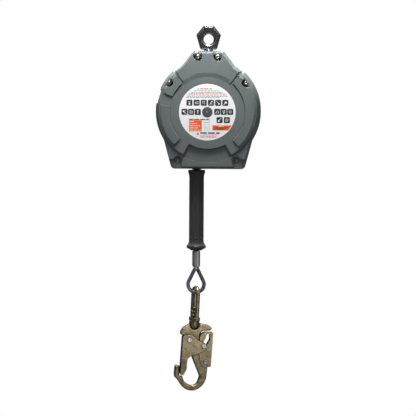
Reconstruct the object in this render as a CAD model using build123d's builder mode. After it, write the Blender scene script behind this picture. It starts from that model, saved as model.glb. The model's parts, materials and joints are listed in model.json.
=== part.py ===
from build123d import *
import os
from math import acos, atan2, cos, degrees, hypot, radians, sin, tan

os.makedirs("parts", exist_ok=True)

# A self retracting lifeline: a drum of wire rope in a two-part housing that hangs from a swivelling
# anchor eye, with a grip, a thimble eye and a self-locking swivel snap hook on the end of the rope.
# Millimetres. The origin is the centre of the anchor eye's hole, +Z is up and -Y is the front.

# ---- driving dimensions ---------------------------------------------------------------------------
DRUM_Z = -144.0  # height of the drum axis, which runs along Y
LINE_X = -22.5  # the rope hangs this far to the left of the drum axis
ROPE_D = 4.8
RUN_GAP = 0.3  # air between pieces that move past each other

EYE_THICK = 16.0
EYE_HOLE_R = 10.0
EYE_EDGE_R = 4.8
EYE_BEVEL = 3.6
EYE_RIM_R = 1.4
SHANK_R = 6.0

DISC_R = 102.4  # round drum bay at the parting plane
ARM_R = 105.0  # raised arms at the parting plane
DISC_LEVEL = 39.5  # front of the drum bay, from the parting plane
ARM_LEVEL = 42.0
BODY_LEVEL = 36.0  # lower body outside the drum bay
SECTOR_LEVEL = 34.6
LUG_LEVEL = 31.5
DRAFT = 6.0
WALL = 3.5
CAVITY_LEVEL = 36.0
LOWER_CAVITY_LEVEL = 31.2
HOUSING_TOP = 121.0
HOUSING_BOTTOM = -114.4

LABEL_R = 56.2
HUB_CAP_R = 10.2
HUB_STEM_R = 5.0

PLATE_INNER = 24.5  # frame plates run from here
PLATE_OUTER = 27.5  # to here, on both sides
SHAFT_R = 6.0

DRUM_HALF = 10.0
FLANGE_T = 2.0
DRUM_CORE_R = 30.0
FLANGE_R = 63.0
PACK_R = 56.5

RATCHET_TEETH = 12
RATCHET_TIP_R = 69.0
RATCHET_ROOT_R = 75.0
RATCHET_OUTER_R = 82.0
RATCHET_FACE_ANGLE = 2.5  # where the first tooth face stands

LOOP_Z = -489.9  # centre of the thimble's round end
LOOP_INNER_R = 12.2
LOOP_HALF_ANGLE = 26.0
THIMBLE_HALF = 4.4

BOW_WIRE_R = 4.4
BOW_R = 12.0
BOW_TURN = 25.0
HOOK_TILT = 2.5  # the swivel and hook lean this far clockwise
HOOK_TURN = 12.0  # and the hook is turned this far about its swivel


# ---- planes ---------------------------------------------------------------------------------------
def cover_plane(side, depth=0.0):
    """Plane across the drum axis, this far from the parting plane; side 1 is the front and -1 the rear."""
    return Plane(origin=(0, -side * depth, DRUM_Z), x_dir=(side, 0, 0), z_dir=(0, -side, 0))


def radial_plane(side, angle):
    """Plane that holds the drum axis: x runs outwards at this angle, y away from the parting plane."""
    turn = radians(angle)
    return Plane(
        origin=(0, 0, DRUM_Z),
        x_dir=(side * cos(turn), 0, sin(turn)),
        z_dir=(side * sin(turn), 0, -cos(turn)),
    )


def drum_axis(side):
    return Axis((0, 0, DRUM_Z), (0, -side, 0))


def polar(radius, angle):
    return (radius * cos(radians(angle)), radius * sin(radians(angle)))


def polygon(plane, points, rounding=0.0, rounded=()):
    """A closed polygon on a plane, with the listed corners rounded."""
    with BuildSketch(plane) as sketch:
        with BuildLine():
            Polyline(*points, close=True)
        make_face()
        if rounding:
            wanted = [Vector(*points[n]) for n in rounded]
            local = sketch.sketch_local.vertices()
            fillet([v for v in local if any((Vector(v) - w).length < 0.01 for w in wanted)], rounding)
    return sketch.sketch


def turned(side, angle, points):
    """A radial profile, ready to be revolved about the drum axis from this angle."""
    return polygon(radial_plane(side, angle), points)


def coil_spring(foot, direction, radius, wire_r, pitch, length):
    """A round-wire coil from its foot along a direction; radius is to the middle of the wire."""
    with BuildPart() as piece:
        with BuildLine() as coil:
            Helix(pitch=pitch, height=length, radius=radius, center=foot, direction=direction)
        with BuildSketch(Plane(origin=coil.line @ 0, z_dir=coil.line % 0)):
            Circle(wire_r)
        sweep(path=coil.line, is_frenet=True)
    return piece.part


def round_edges(piece, radius):
    """The circular edges of this radius."""
    return piece.edges().filter_by(GeomType.CIRCLE).filter_by(lambda e: abs(e.radius - radius) < 0.01)


# ---- anchor eye -----------------------------------------------------------------------------------
EYE_TOP = 27.6
EYE_TOP_HALF = 9.4
EYE_WIDE_HALF = 24.6
EYE_WIDE_Z = 9.0
EYE_FOOT_HALF = 16.2
EYE_FOOT_Z = -20.5
COLLAR_T = 2.3
COVER_TOP_Z = DRUM_Z + HOUSING_TOP
BLOCK_TOP_Z = DRUM_Z + 103.5
BLOCK_BOTTOM_Z = DRUM_Z + 88.0
EYE_WASHER_T = 1.6
EYE_NUT_T = 8.0
SHANK_END_Z = BLOCK_BOTTOM_Z - EYE_WASHER_T - EYE_NUT_T - 2.2
COTTER_R = 1.5
COTTER_REACH = 12.0  # each way from the shank's axis, inside the frame's plates
COTTER_Z = BLOCK_BOTTOM_Z - EYE_WASHER_T - EYE_NUT_T + 2.4

eye_points = [
    (-EYE_TOP_HALF, EYE_TOP),
    (EYE_TOP_HALF, EYE_TOP),
    (EYE_WIDE_HALF, EYE_WIDE_Z),
    (EYE_FOOT_HALF, EYE_FOOT_Z),
    (-EYE_FOOT_HALF, EYE_FOOT_Z),
    (-EYE_WIDE_HALF, EYE_WIDE_Z),
]
with BuildPart() as anchor_eye:
    extrude(polygon(Plane.XZ, eye_points, 4.0, range(6)), amount=EYE_THICK / 2, both=True)
    chamfer(anchor_eye.faces().filter_by(Axis.Y).edges(), EYE_BEVEL)
    rim_level = EYE_THICK / 2 - EYE_BEVEL
    fillet([edge for edge in anchor_eye.edges() if abs(abs(edge.center().Y) - rim_level) < 0.01], EYE_RIM_R)
    with BuildSketch(Plane.XZ):
        Circle(EYE_HOLE_R)
    extrude(amount=EYE_THICK, both=True, mode=Mode.SUBTRACT)
    fillet(round_edges(anchor_eye, EYE_HOLE_R), EYE_EDGE_R)
    with Locations((0, 0, EYE_FOOT_Z + 2.0)):
        Cylinder(SHANK_R, EYE_FOOT_Z + 2.0 - SHANK_END_Z, align=(Align.CENTER, Align.CENTER, Align.MAX))
    with Locations((0, 0, COTTER_Z)):
        Cylinder(COTTER_R + 0.1, 3 * SHANK_R, rotation=(0, 90, 0), mode=Mode.SUBTRACT)
    chamfer(anchor_eye.faces().sort_by(Axis.Z)[0].edges(), 1.0)
anchor_eye.part.label = "anchor_eye"
export_step(anchor_eye.part, "parts/anchor_eye.step")

with BuildPart() as eye_collar:
    with Locations((0, 0, EYE_FOOT_Z)):
        Cylinder(9.2, COLLAR_T, align=(Align.CENTER, Align.CENTER, Align.MAX))
        Cylinder(SHANK_R, COLLAR_T, align=(Align.CENTER, Align.CENTER, Align.MAX), mode=Mode.SUBTRACT)
    chamfer(round_edges(eye_collar, 9.2), 0.5)
eye_collar.part.label = "eye_collar"
export_step(eye_collar.part, "parts/eye_collar.step")

with BuildPart() as eye_washer:
    with Locations((0, 0, BLOCK_BOTTOM_Z)):
        Cylinder(11.0, EYE_WASHER_T, align=(Align.CENTER, Align.CENTER, Align.MAX))
        Cylinder(SHANK_R, EYE_WASHER_T, align=(Align.CENTER, Align.CENTER, Align.MAX), mode=Mode.SUBTRACT)
eye_washer.part.label = "eye_washer"
export_step(eye_washer.part, "parts/eye_washer.step")

with BuildPart() as eye_nut:
    with BuildSketch(Plane.XY.offset(BLOCK_BOTTOM_Z - EYE_WASHER_T)):
        RegularPolygon(9.5, 6, major_radius=False)
        Circle(SHANK_R, mode=Mode.SUBTRACT)
    extrude(amount=-EYE_NUT_T)
    with Locations((0, 0, COTTER_Z)):
        with PolarLocations(0, 3, angular_range=180):
            Box(30, 3.4, 2 * (EYE_NUT_T - 5.6), mode=Mode.SUBTRACT)
eye_nut.part.label = "eye_nut"
export_step(eye_nut.part, "parts/eye_nut.step")

with BuildPart() as cotter_pin:
    with Locations((0, 0, COTTER_Z)):
        Cylinder(COTTER_R, 2 * COTTER_REACH, rotation=(0, 90, 0))
    with Locations((-COTTER_REACH - 0.6, 0, COTTER_Z)):
        Torus(2.4, COTTER_R * 0.7, rotation=(90, 0, 0))
cotter_pin.part.label = "cotter_pin"
export_step(cotter_pin.part, "parts/cotter_pin.step")

# ---- housing covers -------------------------------------------------------------------------------
NECK_HALF = 30.0
SHOULDER = (53.0, 91.0)
NECK_FOOT = (67.0, 80.5)
SIDE_TOP = (93.6, -38.0)
FOOT_HALF = 73.0
NECK_LEVEL = 41.0
RING_R = 75.0
ARM_BEVEL_R = 91.5
ARM_EDGE_R = 97.0
ARM_SPANS = [(-47.2, 94.7), (131.2, 25.1), (171.0, 54.0)]  # start and sweep, seen from the front
PAD_SPANS = [(2.0, 44.3), (132.4, 23.0)]
PAD_RISE = 3.0  # the pads round the side screws reach this much further up
PAD_INNER_R = 82.0
SECTOR_SPAN = (-119.5, 59.0)
SECTOR_INNER_R = 73.0
SECTOR_OUTER_R = 100.4
TOP_SCREWS = [(-19.6, 109.0), (19.6, 109.0)]
PAD_SCREWS = [(-76.0, 57.2), (76.0, 57.2)]
LOW_SCREWS = [(-58.6, -97.0), (58.6, -97.0)]
TOP_SEAT = 34.0
PAD_SEAT = 35.0
LOW_SEAT = 26.5
SCREW_R = 2.5
SCREW_HEAD_R = 3.9
SCREW_HEAD_H = 3.4
SCREW_END = 14.0  # behind the parting plane
BOSS_R = 5.2
INSERT_R = 3.6
INSERT_SPAN = (3.0, 15.0)
SEATS = [(TOP_SCREWS, TOP_SEAT), (PAD_SCREWS, PAD_SEAT), (LOW_SCREWS, LOW_SEAT)]
NOZZLE_R = 7.0
COVER_SHANK_HOLE_R = SHANK_R + 0.6


def neck_points(inset):
    """The neck above the drum bay, a constant inset inside the outline."""
    slope = 0.75 * inset
    return [
        (-NECK_HALF + slope, HOUSING_TOP - inset),
        (NECK_HALF - slope, HOUSING_TOP - inset),
        (SHOULDER[0] - 1.2 * inset, SHOULDER[1] - 0.55 * inset),
        (NECK_FOOT[0] - inset, NECK_FOOT[1] - inset),
        (40.0, 40.0),
        (-40.0, 40.0),
        (-NECK_FOOT[0] + inset, NECK_FOOT[1] - inset),
        (-SHOULDER[0] + 1.2 * inset, SHOULDER[1] - 0.55 * inset),
    ]


def body_points(inset):
    """The tapering lower body below the drum bay."""
    return [
        (-SIDE_TOP[0] + inset, SIDE_TOP[1]),
        (SIDE_TOP[0] - inset, SIDE_TOP[1]),
        (FOOT_HALF - inset, HOUSING_BOTTOM + inset),
        (-FOOT_HALF + inset, HOUSING_BOTTOM + inset),
    ]


def screw_recess(side, spot, kind):
    """The hollow that a case screw's head sits in, drawn at its floor."""
    x, y = side * spot[0], spot[1]
    with BuildSketch(cover_plane(side, TOP_SEAT if kind == "top" else PAD_SEAT)) as sketch:
        with Locations((x, y)):
            Circle(7.2)
        with BuildLine():
            if kind == "top":
                Polyline((x - 7.2, y), (x + 7.2, y), (x + 9.0, y + 15), (x - 9.0, y + 15), close=True)
            else:
                reach = [(-2.0, -6.9), (7.0, -11.3), (24.0, -16.0), (24.0, 16.0), (7.0, 11.3), (-2.0, 6.9)]
                turn = atan2(y, x)
                corners = [
                    (x + a * cos(turn) - b * sin(turn), y + a * sin(turn) + b * cos(turn)) for a, b in reach
                ]
                Polyline(*corners, close=True)
        make_face()
    return sketch.sketch


def make_cavity(side):
    """The space inside one cover; what stays solid is the walls, the sector's floor and the bosses."""
    inner_disc = [(0, 0), (DISC_R - 4.0, 0), (DISC_R - 7.2, CAVITY_LEVEL), (0, CAVITY_LEVEL)]
    under_sector = [(69.0, 31.1), (105.0, 31.1), (105.0, 60.0), (69.0, 60.0)]
    with BuildPart() as cavity:
        revolve(turned(side, 0, inner_disc), drum_axis(side))
        floor_profile = turned(side, SECTOR_SPAN[0] - 3, under_sector)
        revolve(floor_profile, drum_axis(side), SECTOR_SPAN[1] + 6, mode=Mode.SUBTRACT)
        extrude(polygon(cover_plane(side), neck_points(WALL)), amount=CAVITY_LEVEL, taper=DRAFT)
        extrude(polygon(cover_plane(side), body_points(WALL)), amount=LOWER_CAVITY_LEVEL, taper=DRAFT)
        for spots, seat in SEATS[:2]:
            with BuildSketch(cover_plane(side)):
                with Locations(*[(side * x, y) for x, y in spots]):
                    Circle(BOSS_R)
            extrude(amount=60, mode=Mode.SUBTRACT)
        with BuildSketch(cover_plane(side)):
            with Locations((62.0, -104.0), (-62.0, -104.0)):
                Rectangle(30.0, 30.0)
        extrude(amount=60, mode=Mode.SUBTRACT)
    return cavity.part


def pad_swell(side, begin, sweep, arm):
    """The outer rim of a pad: the arm's profile turned about an axis a little above the drum's."""
    rim = [(PAD_INNER_R, 0)] + arm[1:5] + [(PAD_INNER_R, ARM_LEVEL)]
    with BuildPart() as swell:
        revolve(turned(side, begin, rim), drum_axis(side), sweep)
    return Pos(0, 0, PAD_RISE) * swell.part


def make_shell(side):
    """One cover's outside with its relief, hollowed out."""
    axis = drum_axis(side)
    front = DISC_R - DISC_LEVEL * tan(radians(DRAFT))
    disc = [(0, 0), (DISC_R, 0), (front + 0.2, DISC_LEVEL - 1.4), (front - 1.4, DISC_LEVEL), (0, DISC_LEVEL)]
    neck_dish = [(0, DISC_LEVEL), (69.0, DISC_LEVEL), (78.0, NECK_LEVEL), (78.0, 60.0), (0, 60.0)]
    arm = [
        (RING_R, 0),
        (ARM_R, 0),
        (ARM_EDGE_R + 1.6, ARM_LEVEL - 6.0),
        (ARM_EDGE_R, ARM_LEVEL - 3.0),
        (ARM_BEVEL_R, ARM_LEVEL),
        (RING_R + 0.8, ARM_LEVEL),
        (RING_R, ARM_LEVEL - 0.8),
    ]
    sector = [
        (SECTOR_INNER_R, SECTOR_LEVEL),
        (SECTOR_OUTER_R, SECTOR_LEVEL),
        (SECTOR_OUTER_R, 60),
        (SECTOR_INNER_R, 60),
    ]
    with BuildPart() as shell:
        extrude(polygon(cover_plane(side), neck_points(0), 5.0, (0, 1, 2, 7)), amount=NECK_LEVEL, taper=DRAFT)
        revolve(turned(side, 0, neck_dish), axis, mode=Mode.SUBTRACT)
        revolve(turned(side, 0, disc), axis)
        extrude(polygon(cover_plane(side), body_points(0), 9.0, (2, 3)), amount=BODY_LEVEL, taper=DRAFT)
        for start, sweep in ARM_SPANS:
            begin = start if side > 0 else 180.0 - start - sweep
            revolve(turned(side, begin, arm), axis, sweep)
        for start, sweep in PAD_SPANS:
            begin = start if side > 0 else 180.0 - start - sweep
            add(pad_swell(side, begin, sweep, arm))
        revolve(turned(side, SECTOR_SPAN[0], sector), axis, SECTOR_SPAN[1], mode=Mode.SUBTRACT)
        # bevel along the bottom bar's front edge
        with BuildSketch(Plane.YZ):
            with BuildLine():
                Polyline(
                    (-side * (BODY_LEVEL + 1), DRUM_Z + HOUSING_BOTTOM + 7),
                    (-side * (BODY_LEVEL + 1), DRUM_Z + HOUSING_BOTTOM - 1),
                    (-side * (BODY_LEVEL - 8), DRUM_Z + HOUSING_BOTTOM - 1),
                    close=True,
                )
            make_face()
        extrude(amount=200, both=True, mode=Mode.SUBTRACT)
        # label recess
        with BuildSketch(cover_plane(side, DISC_LEVEL - 0.8)):
            Circle(LABEL_R + 0.6)
        extrude(amount=10, mode=Mode.SUBTRACT)
        # hub hole, with the shaft's nut behind it
        with BuildSketch(cover_plane(side)):
            Circle(HUB_STEM_R + 0.1)
        extrude(amount=60, mode=Mode.SUBTRACT)
        add(make_cavity(side), mode=Mode.SUBTRACT)
        # lowered lugs round the bottom screws
        for x, y in LOW_SCREWS:
            out = 1 if x > 0 else -1
            with BuildSketch(cover_plane(side, LUG_LEVEL)):
                with Locations((x, y)):
                    Circle(8.4)
                with BuildLine():
                    Polyline(
                        (out * 51.0, y),
                        (out * 51.0, y - 30),
                        (out * 90.0, y - 30),
                        (out * 90.0, y + 3.0),
                        (x + out * 8.0, y + 2.4),
                        close=True,
                    )
                make_face()
            extrude(amount=20, taper=-8, mode=Mode.SUBTRACT)
        # the rope's bush and the anchor eye's shank
        with Locations((LINE_X, 0, DRUM_Z + HOUSING_BOTTOM)):
            Cylinder(NOZZLE_R, 20, mode=Mode.SUBTRACT)
        with Locations((LINE_X, 0, DRUM_Z + HOUSING_BOTTOM + WALL)):
            Cylinder(9.4, 6, align=(Align.CENTER, Align.CENTER, Align.MIN), mode=Mode.SUBTRACT)
        with Locations((0, 0, COVER_TOP_Z)):
            Cylinder(COVER_SHANK_HOLE_R, 20, mode=Mode.SUBTRACT)
    return shell.part


with BuildPart() as front_cover:
    add(make_shell(1))
    for spot in TOP_SCREWS:
        extrude(screw_recess(1, spot, "top"), amount=20, taper=-10, mode=Mode.SUBTRACT)
    for spot in PAD_SCREWS:
        extrude(screw_recess(1, spot, "pad"), amount=20, taper=-10, mode=Mode.SUBTRACT)
    for spots, seat in SEATS:
        with BuildSketch(cover_plane(1)):
            with Locations(*spots):
                Circle(SCREW_R + 0.3)
        extrude(amount=seat, mode=Mode.SUBTRACT)
    with BuildSketch(cover_plane(1, LOW_SEAT)):
        with Locations(*LOW_SCREWS):
            Circle(SCREW_HEAD_R + 0.9)
    extrude(amount=20, mode=Mode.SUBTRACT)
front_cover.part.label = "front_cover"
export_step(front_cover.part, "parts/front_cover.step")

ALL_SCREWS = TOP_SCREWS + PAD_SCREWS + LOW_SCREWS
with BuildPart() as rear_cover:
    add(make_shell(-1))
    with BuildSketch(cover_plane(-1)):
        with Locations(*ALL_SCREWS):
            Circle(SCREW_R + 0.3)
    extrude(amount=SCREW_END + 4, mode=Mode.SUBTRACT)
    with BuildSketch(cover_plane(-1, INSERT_SPAN[0])):
        with Locations(*ALL_SCREWS):
            Circle(INSERT_R)
    extrude(amount=INSERT_SPAN[1] - INSERT_SPAN[0], mode=Mode.SUBTRACT)
rear_cover.part.label = "rear_cover"
export_step(rear_cover.part, "parts/rear_cover.step")

with BuildPart() as case_screws:
    for spots, seat in SEATS:
        with BuildSketch(cover_plane(1, seat)):
            with Locations(*spots):
                Circle(SCREW_HEAD_R)
        extrude(amount=SCREW_HEAD_H)
        with BuildSketch(cover_plane(1, seat)):
            with Locations(*spots):
                Circle(SCREW_R)
        extrude(amount=-seat - SCREW_END)
        with BuildSketch(cover_plane(1, seat + SCREW_HEAD_H)):
            with Locations(*spots):
                Rectangle(4.6, 1.1)
                Rectangle(1.1, 4.6)
        extrude(amount=-1.8, mode=Mode.SUBTRACT)
    head_levels = [seat + SCREW_HEAD_H for spots, seat in SEATS]
    rims = round_edges(case_screws, SCREW_HEAD_R)
    fillet([rim for rim in rims if any(abs(rim.center().Y + level) < 0.1 for level in head_levels)], 1.0)
case_screws.part.label = "case_screws"
export_step(case_screws.part, "parts/case_screws.step")

with BuildPart() as case_inserts:
    with BuildSketch(cover_plane(-1, INSERT_SPAN[0])):
        with Locations(*ALL_SCREWS):
            Circle(INSERT_R)
            Circle(SCREW_R, mode=Mode.SUBTRACT)
    extrude(amount=INSERT_SPAN[1] - INSERT_SPAN[0])
case_inserts.part.label = "case_inserts"
export_step(case_inserts.part, "parts/case_inserts.step")

with BuildPart() as labels:
    for side in (1, -1):
        with BuildSketch(cover_plane(side, DISC_LEVEL - 0.8)):
            Circle(LABEL_R)
            Circle(HUB_CAP_R + 0.2, mode=Mode.SUBTRACT)
        extrude(amount=0.4)
labels.part.label = "labels"
export_step(labels.part, "parts/labels.step")

with BuildPart() as hub_caps:
    for side in (1, -1):
        cap = [
            (2.0, DISC_LEVEL - 0.8),
            (HUB_CAP_R, DISC_LEVEL - 0.8),
            (HUB_CAP_R, DISC_LEVEL - 0.1),
            (HUB_CAP_R - 1.4, DISC_LEVEL + 0.7),
            (4.4, DISC_LEVEL + 0.7),
            (3.4, DISC_LEVEL + 0.1),
            (2.0, DISC_LEVEL + 0.1),
        ]
        revolve(turned(side, 0, cap), drum_axis(side))
        with BuildSketch(cover_plane(side, CAVITY_LEVEL)):
            Circle(HUB_STEM_R)
            Circle(2.0, mode=Mode.SUBTRACT)
        extrude(amount=DISC_LEVEL - 0.8 - CAVITY_LEVEL)
hub_caps.part.label = "hub_caps"
export_step(hub_caps.part, "parts/hub_caps.step")

with BuildPart() as hub_pins:
    for side in (1, -1):
        pin = [(0, CAVITY_LEVEL), (2.0, CAVITY_LEVEL), (2.0, DISC_LEVEL + 0.1), (2.9, DISC_LEVEL + 0.1),
               (2.3, DISC_LEVEL + 1.1), (0, DISC_LEVEL + 1.5)]
        revolve(turned(side, 0, pin), drum_axis(side))
hub_pins.part.label = "hub_pins"
export_step(hub_pins.part, "parts/hub_pins.step")

# ---- frame and shaft ------------------------------------------------------------------------------
BLOCK_Z = (88.0, 103.5)  # above the drum axis
BLOCK_HALF = 22.0
BLOCK_BOLTS = [(-15.0, 95.7), (15.0, 95.7)]
BUSHING_R = 8.0
SPACER_ANGLES = [-30.0, -90.0, -150.0]
SPACER_R = 87.5
SPACER_OUTER_R = 4.5
SPACER_INNER_R = 2.5
RIVET_CIRCLE_R = 78.5
RATCHET_RIVET_R = 1.5
CUP_SCREW_CIRCLE_R = 67.5
CUP_SCREW_R = 2.0
CUP_R = 64.0
ARBOR_R = 16.0
PLATE_R = 83.0

plates = {}
for side in (1, -1):
    with BuildPart() as plate:
        with BuildSketch(cover_plane(side, PLATE_INNER)):
            Circle(PLATE_R)
            with Locations(*[polar(SPACER_R, a) for a in SPACER_ANGLES]):
                Circle(6.5)
            with Locations((0, BLOCK_Z[1])):
                Rectangle(2 * BLOCK_HALF, 40.0, align=(Align.CENTER, Align.MAX))
            Circle(SHAFT_R, mode=Mode.SUBTRACT)
            with Locations(*[polar(SPACER_R, a) for a in SPACER_ANGLES]):
                Circle(SPACER_INNER_R, mode=Mode.SUBTRACT)
            with Locations(*BLOCK_BOLTS):
                Circle(3.0, mode=Mode.SUBTRACT)
            with PolarLocations(44.0, 5, start_angle=18):
                Circle(14.0, mode=Mode.SUBTRACT)
            if side > 0:
                with PolarLocations(RIVET_CIRCLE_R, 6, start_angle=15):
                    Circle(RATCHET_RIVET_R, mode=Mode.SUBTRACT)
            else:
                with PolarLocations(CUP_SCREW_CIRCLE_R, 3, start_angle=30):
                    Circle(CUP_SCREW_R, mode=Mode.SUBTRACT)
        extrude(amount=PLATE_OUTER - PLATE_INNER)
    plates[side] = plate
plates[1].part.label = "frame_plate_front"
export_step(plates[1].part, "parts/frame_plate_front.step")
plates[-1].part.label = "frame_plate_rear"
export_step(plates[-1].part, "parts/frame_plate_rear.step")

with BuildPart() as anchor_block:
    with BuildSketch(cover_plane(1)):
        with Locations((0, BLOCK_Z[0])):
            Rectangle(2 * BLOCK_HALF, BLOCK_Z[1] - BLOCK_Z[0], align=(Align.CENTER, Align.MIN))
        with Locations(*BLOCK_BOLTS):
            Circle(3.0, mode=Mode.SUBTRACT)
    extrude(amount=PLATE_INNER, both=True)
    with Locations((0, 0, BLOCK_TOP_Z)):
        Cylinder(BUSHING_R, 60.0, mode=Mode.SUBTRACT)
anchor_block.part.label = "anchor_block"
export_step(anchor_block.part, "parts/anchor_block.step")

with BuildPart() as eye_bushing:
    with Locations((0, 0, BLOCK_BOTTOM_Z)):
        Cylinder(BUSHING_R, BLOCK_TOP_Z - BLOCK_BOTTOM_Z, align=(Align.CENTER, Align.CENTER, Align.MIN))
    with Locations((0, 0, BLOCK_TOP_Z)):
        Cylinder(10.5, 1.8, align=(Align.CENTER, Align.CENTER, Align.MIN))
    Cylinder(SHANK_R + 0.05, 400.0, mode=Mode.SUBTRACT)
eye_bushing.part.label = "eye_bushing"
export_step(eye_bushing.part, "parts/eye_bushing.step")

with BuildPart() as frame_bolts:
    with BuildSketch(cover_plane(1, PLATE_OUTER)):
        with Locations(*BLOCK_BOLTS):
            Circle(5.0)
    extrude(amount=3.2)
    with BuildSketch(cover_plane(1, PLATE_OUTER)):
        with Locations(*BLOCK_BOLTS):
            Circle(3.0)
    extrude(amount=-2 * PLATE_OUTER - 5.0)
    with BuildSketch(cover_plane(1, PLATE_OUTER + 3.2)):
        with Locations(*BLOCK_BOLTS):
            RegularPolygon(2.0, 6, major_radius=False)
    extrude(amount=-2.2, mode=Mode.SUBTRACT)
frame_bolts.part.label = "frame_bolts"
export_step(frame_bolts.part, "parts/frame_bolts.step")

with BuildPart() as frame_nuts:
    with BuildSketch(cover_plane(1, -PLATE_OUTER)):
        with Locations(*BLOCK_BOLTS):
            RegularPolygon(5.0, 6, major_radius=False)
            Circle(3.0, mode=Mode.SUBTRACT)
    extrude(amount=-5.0)
frame_nuts.part.label = "frame_nuts"
export_step(frame_nuts.part, "parts/frame_nuts.step")

with BuildPart() as frame_spacers:
    with BuildSketch(cover_plane(1)):
        with Locations(*[polar(SPACER_R, a) for a in SPACER_ANGLES]):
            Circle(SPACER_OUTER_R)
            Circle(SPACER_INNER_R, mode=Mode.SUBTRACT)
    extrude(amount=PLATE_INNER, both=True)
frame_spacers.part.label = "frame_spacers"
export_step(frame_spacers.part, "parts/frame_spacers.step")

with BuildPart() as spacer_rivets:
    for angle in SPACER_ANGLES:
        with BuildSketch(cover_plane(1)):
            with Locations(polar(SPACER_R, angle)):
                Circle(SPACER_INNER_R)
        extrude(amount=PLATE_OUTER, both=True)
        for side in (1, -1):
            with BuildSketch(cover_plane(side, PLATE_OUTER)):
                with Locations(polar(SPACER_R, angle if side > 0 else 180 - angle)):
                    Circle(4.2)
            extrude(amount=2.2, taper=25)
spacer_rivets.part.label = "spacer_rivets"
export_step(spacer_rivets.part, "parts/spacer_rivets.step")

with BuildPart() as main_shaft:
    with BuildSketch(cover_plane(1)):
        Circle(SHAFT_R)
    extrude(amount=33.6, both=True)
    chamfer(main_shaft.edges(), 1.0)
main_shaft.part.label = "main_shaft"
export_step(main_shaft.part, "parts/main_shaft.step")

with BuildPart() as shaft_nuts:
    for side in (1, -1):
        with BuildSketch(cover_plane(side, PLATE_OUTER)):
            RegularPolygon(9.0, 6, major_radius=False)
            Circle(SHAFT_R, mode=Mode.SUBTRACT)
        extrude(amount=5.0)
shaft_nuts.part.label = "shaft_nuts"
export_step(shaft_nuts.part, "parts/shaft_nuts.step")

# ---- rope bush and the rope inside the housing ----------------------------------------------------
BUSH_TOP = -103.0
BUSH_BORE_R = 3.3
BUSH_BOTTOM = -115.6
with BuildPart() as rope_bush:
    with BuildSketch(Plane(origin=(LINE_X, 0, DRUM_Z), x_dir=(1, 0, 0), z_dir=(0, -1, 0))):
        with BuildLine():
            Polyline(
                (BUSH_BORE_R, BUSH_BOTTOM),
                (8.6, BUSH_BOTTOM),
                (9.4, BUSH_BOTTOM + 0.6),
                (9.4, HOUSING_BOTTOM),
                (NOZZLE_R, HOUSING_BOTTOM),
                (NOZZLE_R, HOUSING_BOTTOM + WALL),
                (9.4, HOUSING_BOTTOM + WALL),
                (9.4, HOUSING_BOTTOM + WALL + 2.0),
                (8.2, BUSH_TOP),
                (6.6, BUSH_TOP),
            )
            ThreePointArc((6.6, BUSH_TOP), (4.2, BUSH_TOP - 2.9), (BUSH_BORE_R, BUSH_TOP - 7.0))
            Line((BUSH_BORE_R, BUSH_TOP - 7.0), (BUSH_BORE_R, BUSH_BOTTOM))
        make_face()
    revolve(axis=Axis((LINE_X, 0, DRUM_Z), (0, 0, 1)))
rope_bush.part.label = "rope_bush"
export_step(rope_bush.part, "parts/rope_bush.step")

TAKE_OFF_R = PACK_R + RUN_GAP + ROPE_D / 2
BEND_Y = -100.0  # where the slanting rope turns down
LEAD_END = -112.0
bend_reach = hypot(LINE_X, BEND_Y)
take_off_angle = degrees(atan2(BEND_Y, LINE_X)) - degrees(acos(TAKE_OFF_R / bend_reach))
with BuildPart() as rope_lead_in:
    with BuildLine(cover_plane(1)) as lead_path:
        FilletPolyline(polar(TAKE_OFF_R, take_off_angle), (LINE_X, BEND_Y), (LINE_X, LEAD_END), radius=50.0)
    with BuildSketch(Plane(origin=lead_path.line @ 0, z_dir=lead_path.line % 0)):
        Circle(ROPE_D / 2)
    sweep(path=lead_path.line)
rope_lead_in.part.label = "rope_lead_in"
export_step(rope_lead_in.part, "parts/rope_lead_in.step")

# ---- drum -----------------------------------------------------------------------------------------
SPIGOT_R = 33.5
SPIGOT_END = 18.2
LINING_INNER_R = 34.0
LINING_OUTER_R = 46.0
LINING_T = 1.5
CARRIER_T = 3.5
CARRIER_R = 62.0
FLANGE_FACE = DRUM_HALF + FLANGE_T
CARRIER_FACE = FLANGE_FACE + LINING_T
SECOND_LINING_FACE = CARRIER_FACE + CARRIER_T
PRESSURE_FACE = SECOND_LINING_FACE + LINING_T
PRESSURE_T = 2.0
BRAKE_BOLT_CIRCLE_R = 28.0
BRAKE_BOLT_R = 2.5
PAWL_PIVOT_R = 52.0
PAWL_PIVOT_ANGLE = -38.0
PAWL_PIN_R = 3.0
PAWL_T = 4.4
PAWL_GAP = 0.2
DRUM_BUSH_R = 9.0

with BuildPart() as drum:
    drum_profile = [
        (DRUM_BUSH_R, -23.5),
        (ARBOR_R, -23.5),
        (ARBOR_R, -FLANGE_FACE),
        (FLANGE_R - 0.8, -FLANGE_FACE),
        (FLANGE_R, -FLANGE_FACE + 0.8),
        (FLANGE_R - 0.6, -DRUM_HALF),
        (DRUM_CORE_R, -DRUM_HALF),
        (DRUM_CORE_R, DRUM_HALF),
        (FLANGE_R - 0.6, DRUM_HALF),
        (FLANGE_R, FLANGE_FACE - 0.8),
        (FLANGE_R - 0.8, FLANGE_FACE),
        (SPIGOT_R, FLANGE_FACE),
        (SPIGOT_R, SPIGOT_END),
        (DRUM_BUSH_R, SPIGOT_END),
    ]
    revolve(turned(1, 0, drum_profile), drum_axis(1))
    with BuildSketch(cover_plane(1, SPIGOT_END)):
        with PolarLocations(BRAKE_BOLT_CIRCLE_R, 4, start_angle=45):
            Circle(BRAKE_BOLT_R)
    extrude(amount=-8.0, mode=Mode.SUBTRACT)
    with BuildSketch(cover_plane(1, SPIGOT_END)):
        with PolarLocations(20.0, 5):
            Circle(3.6)
    extrude(amount=-60.0, mode=Mode.SUBTRACT)
drum.part.label = "drum"
export_step(drum.part, "parts/drum.step")

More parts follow.
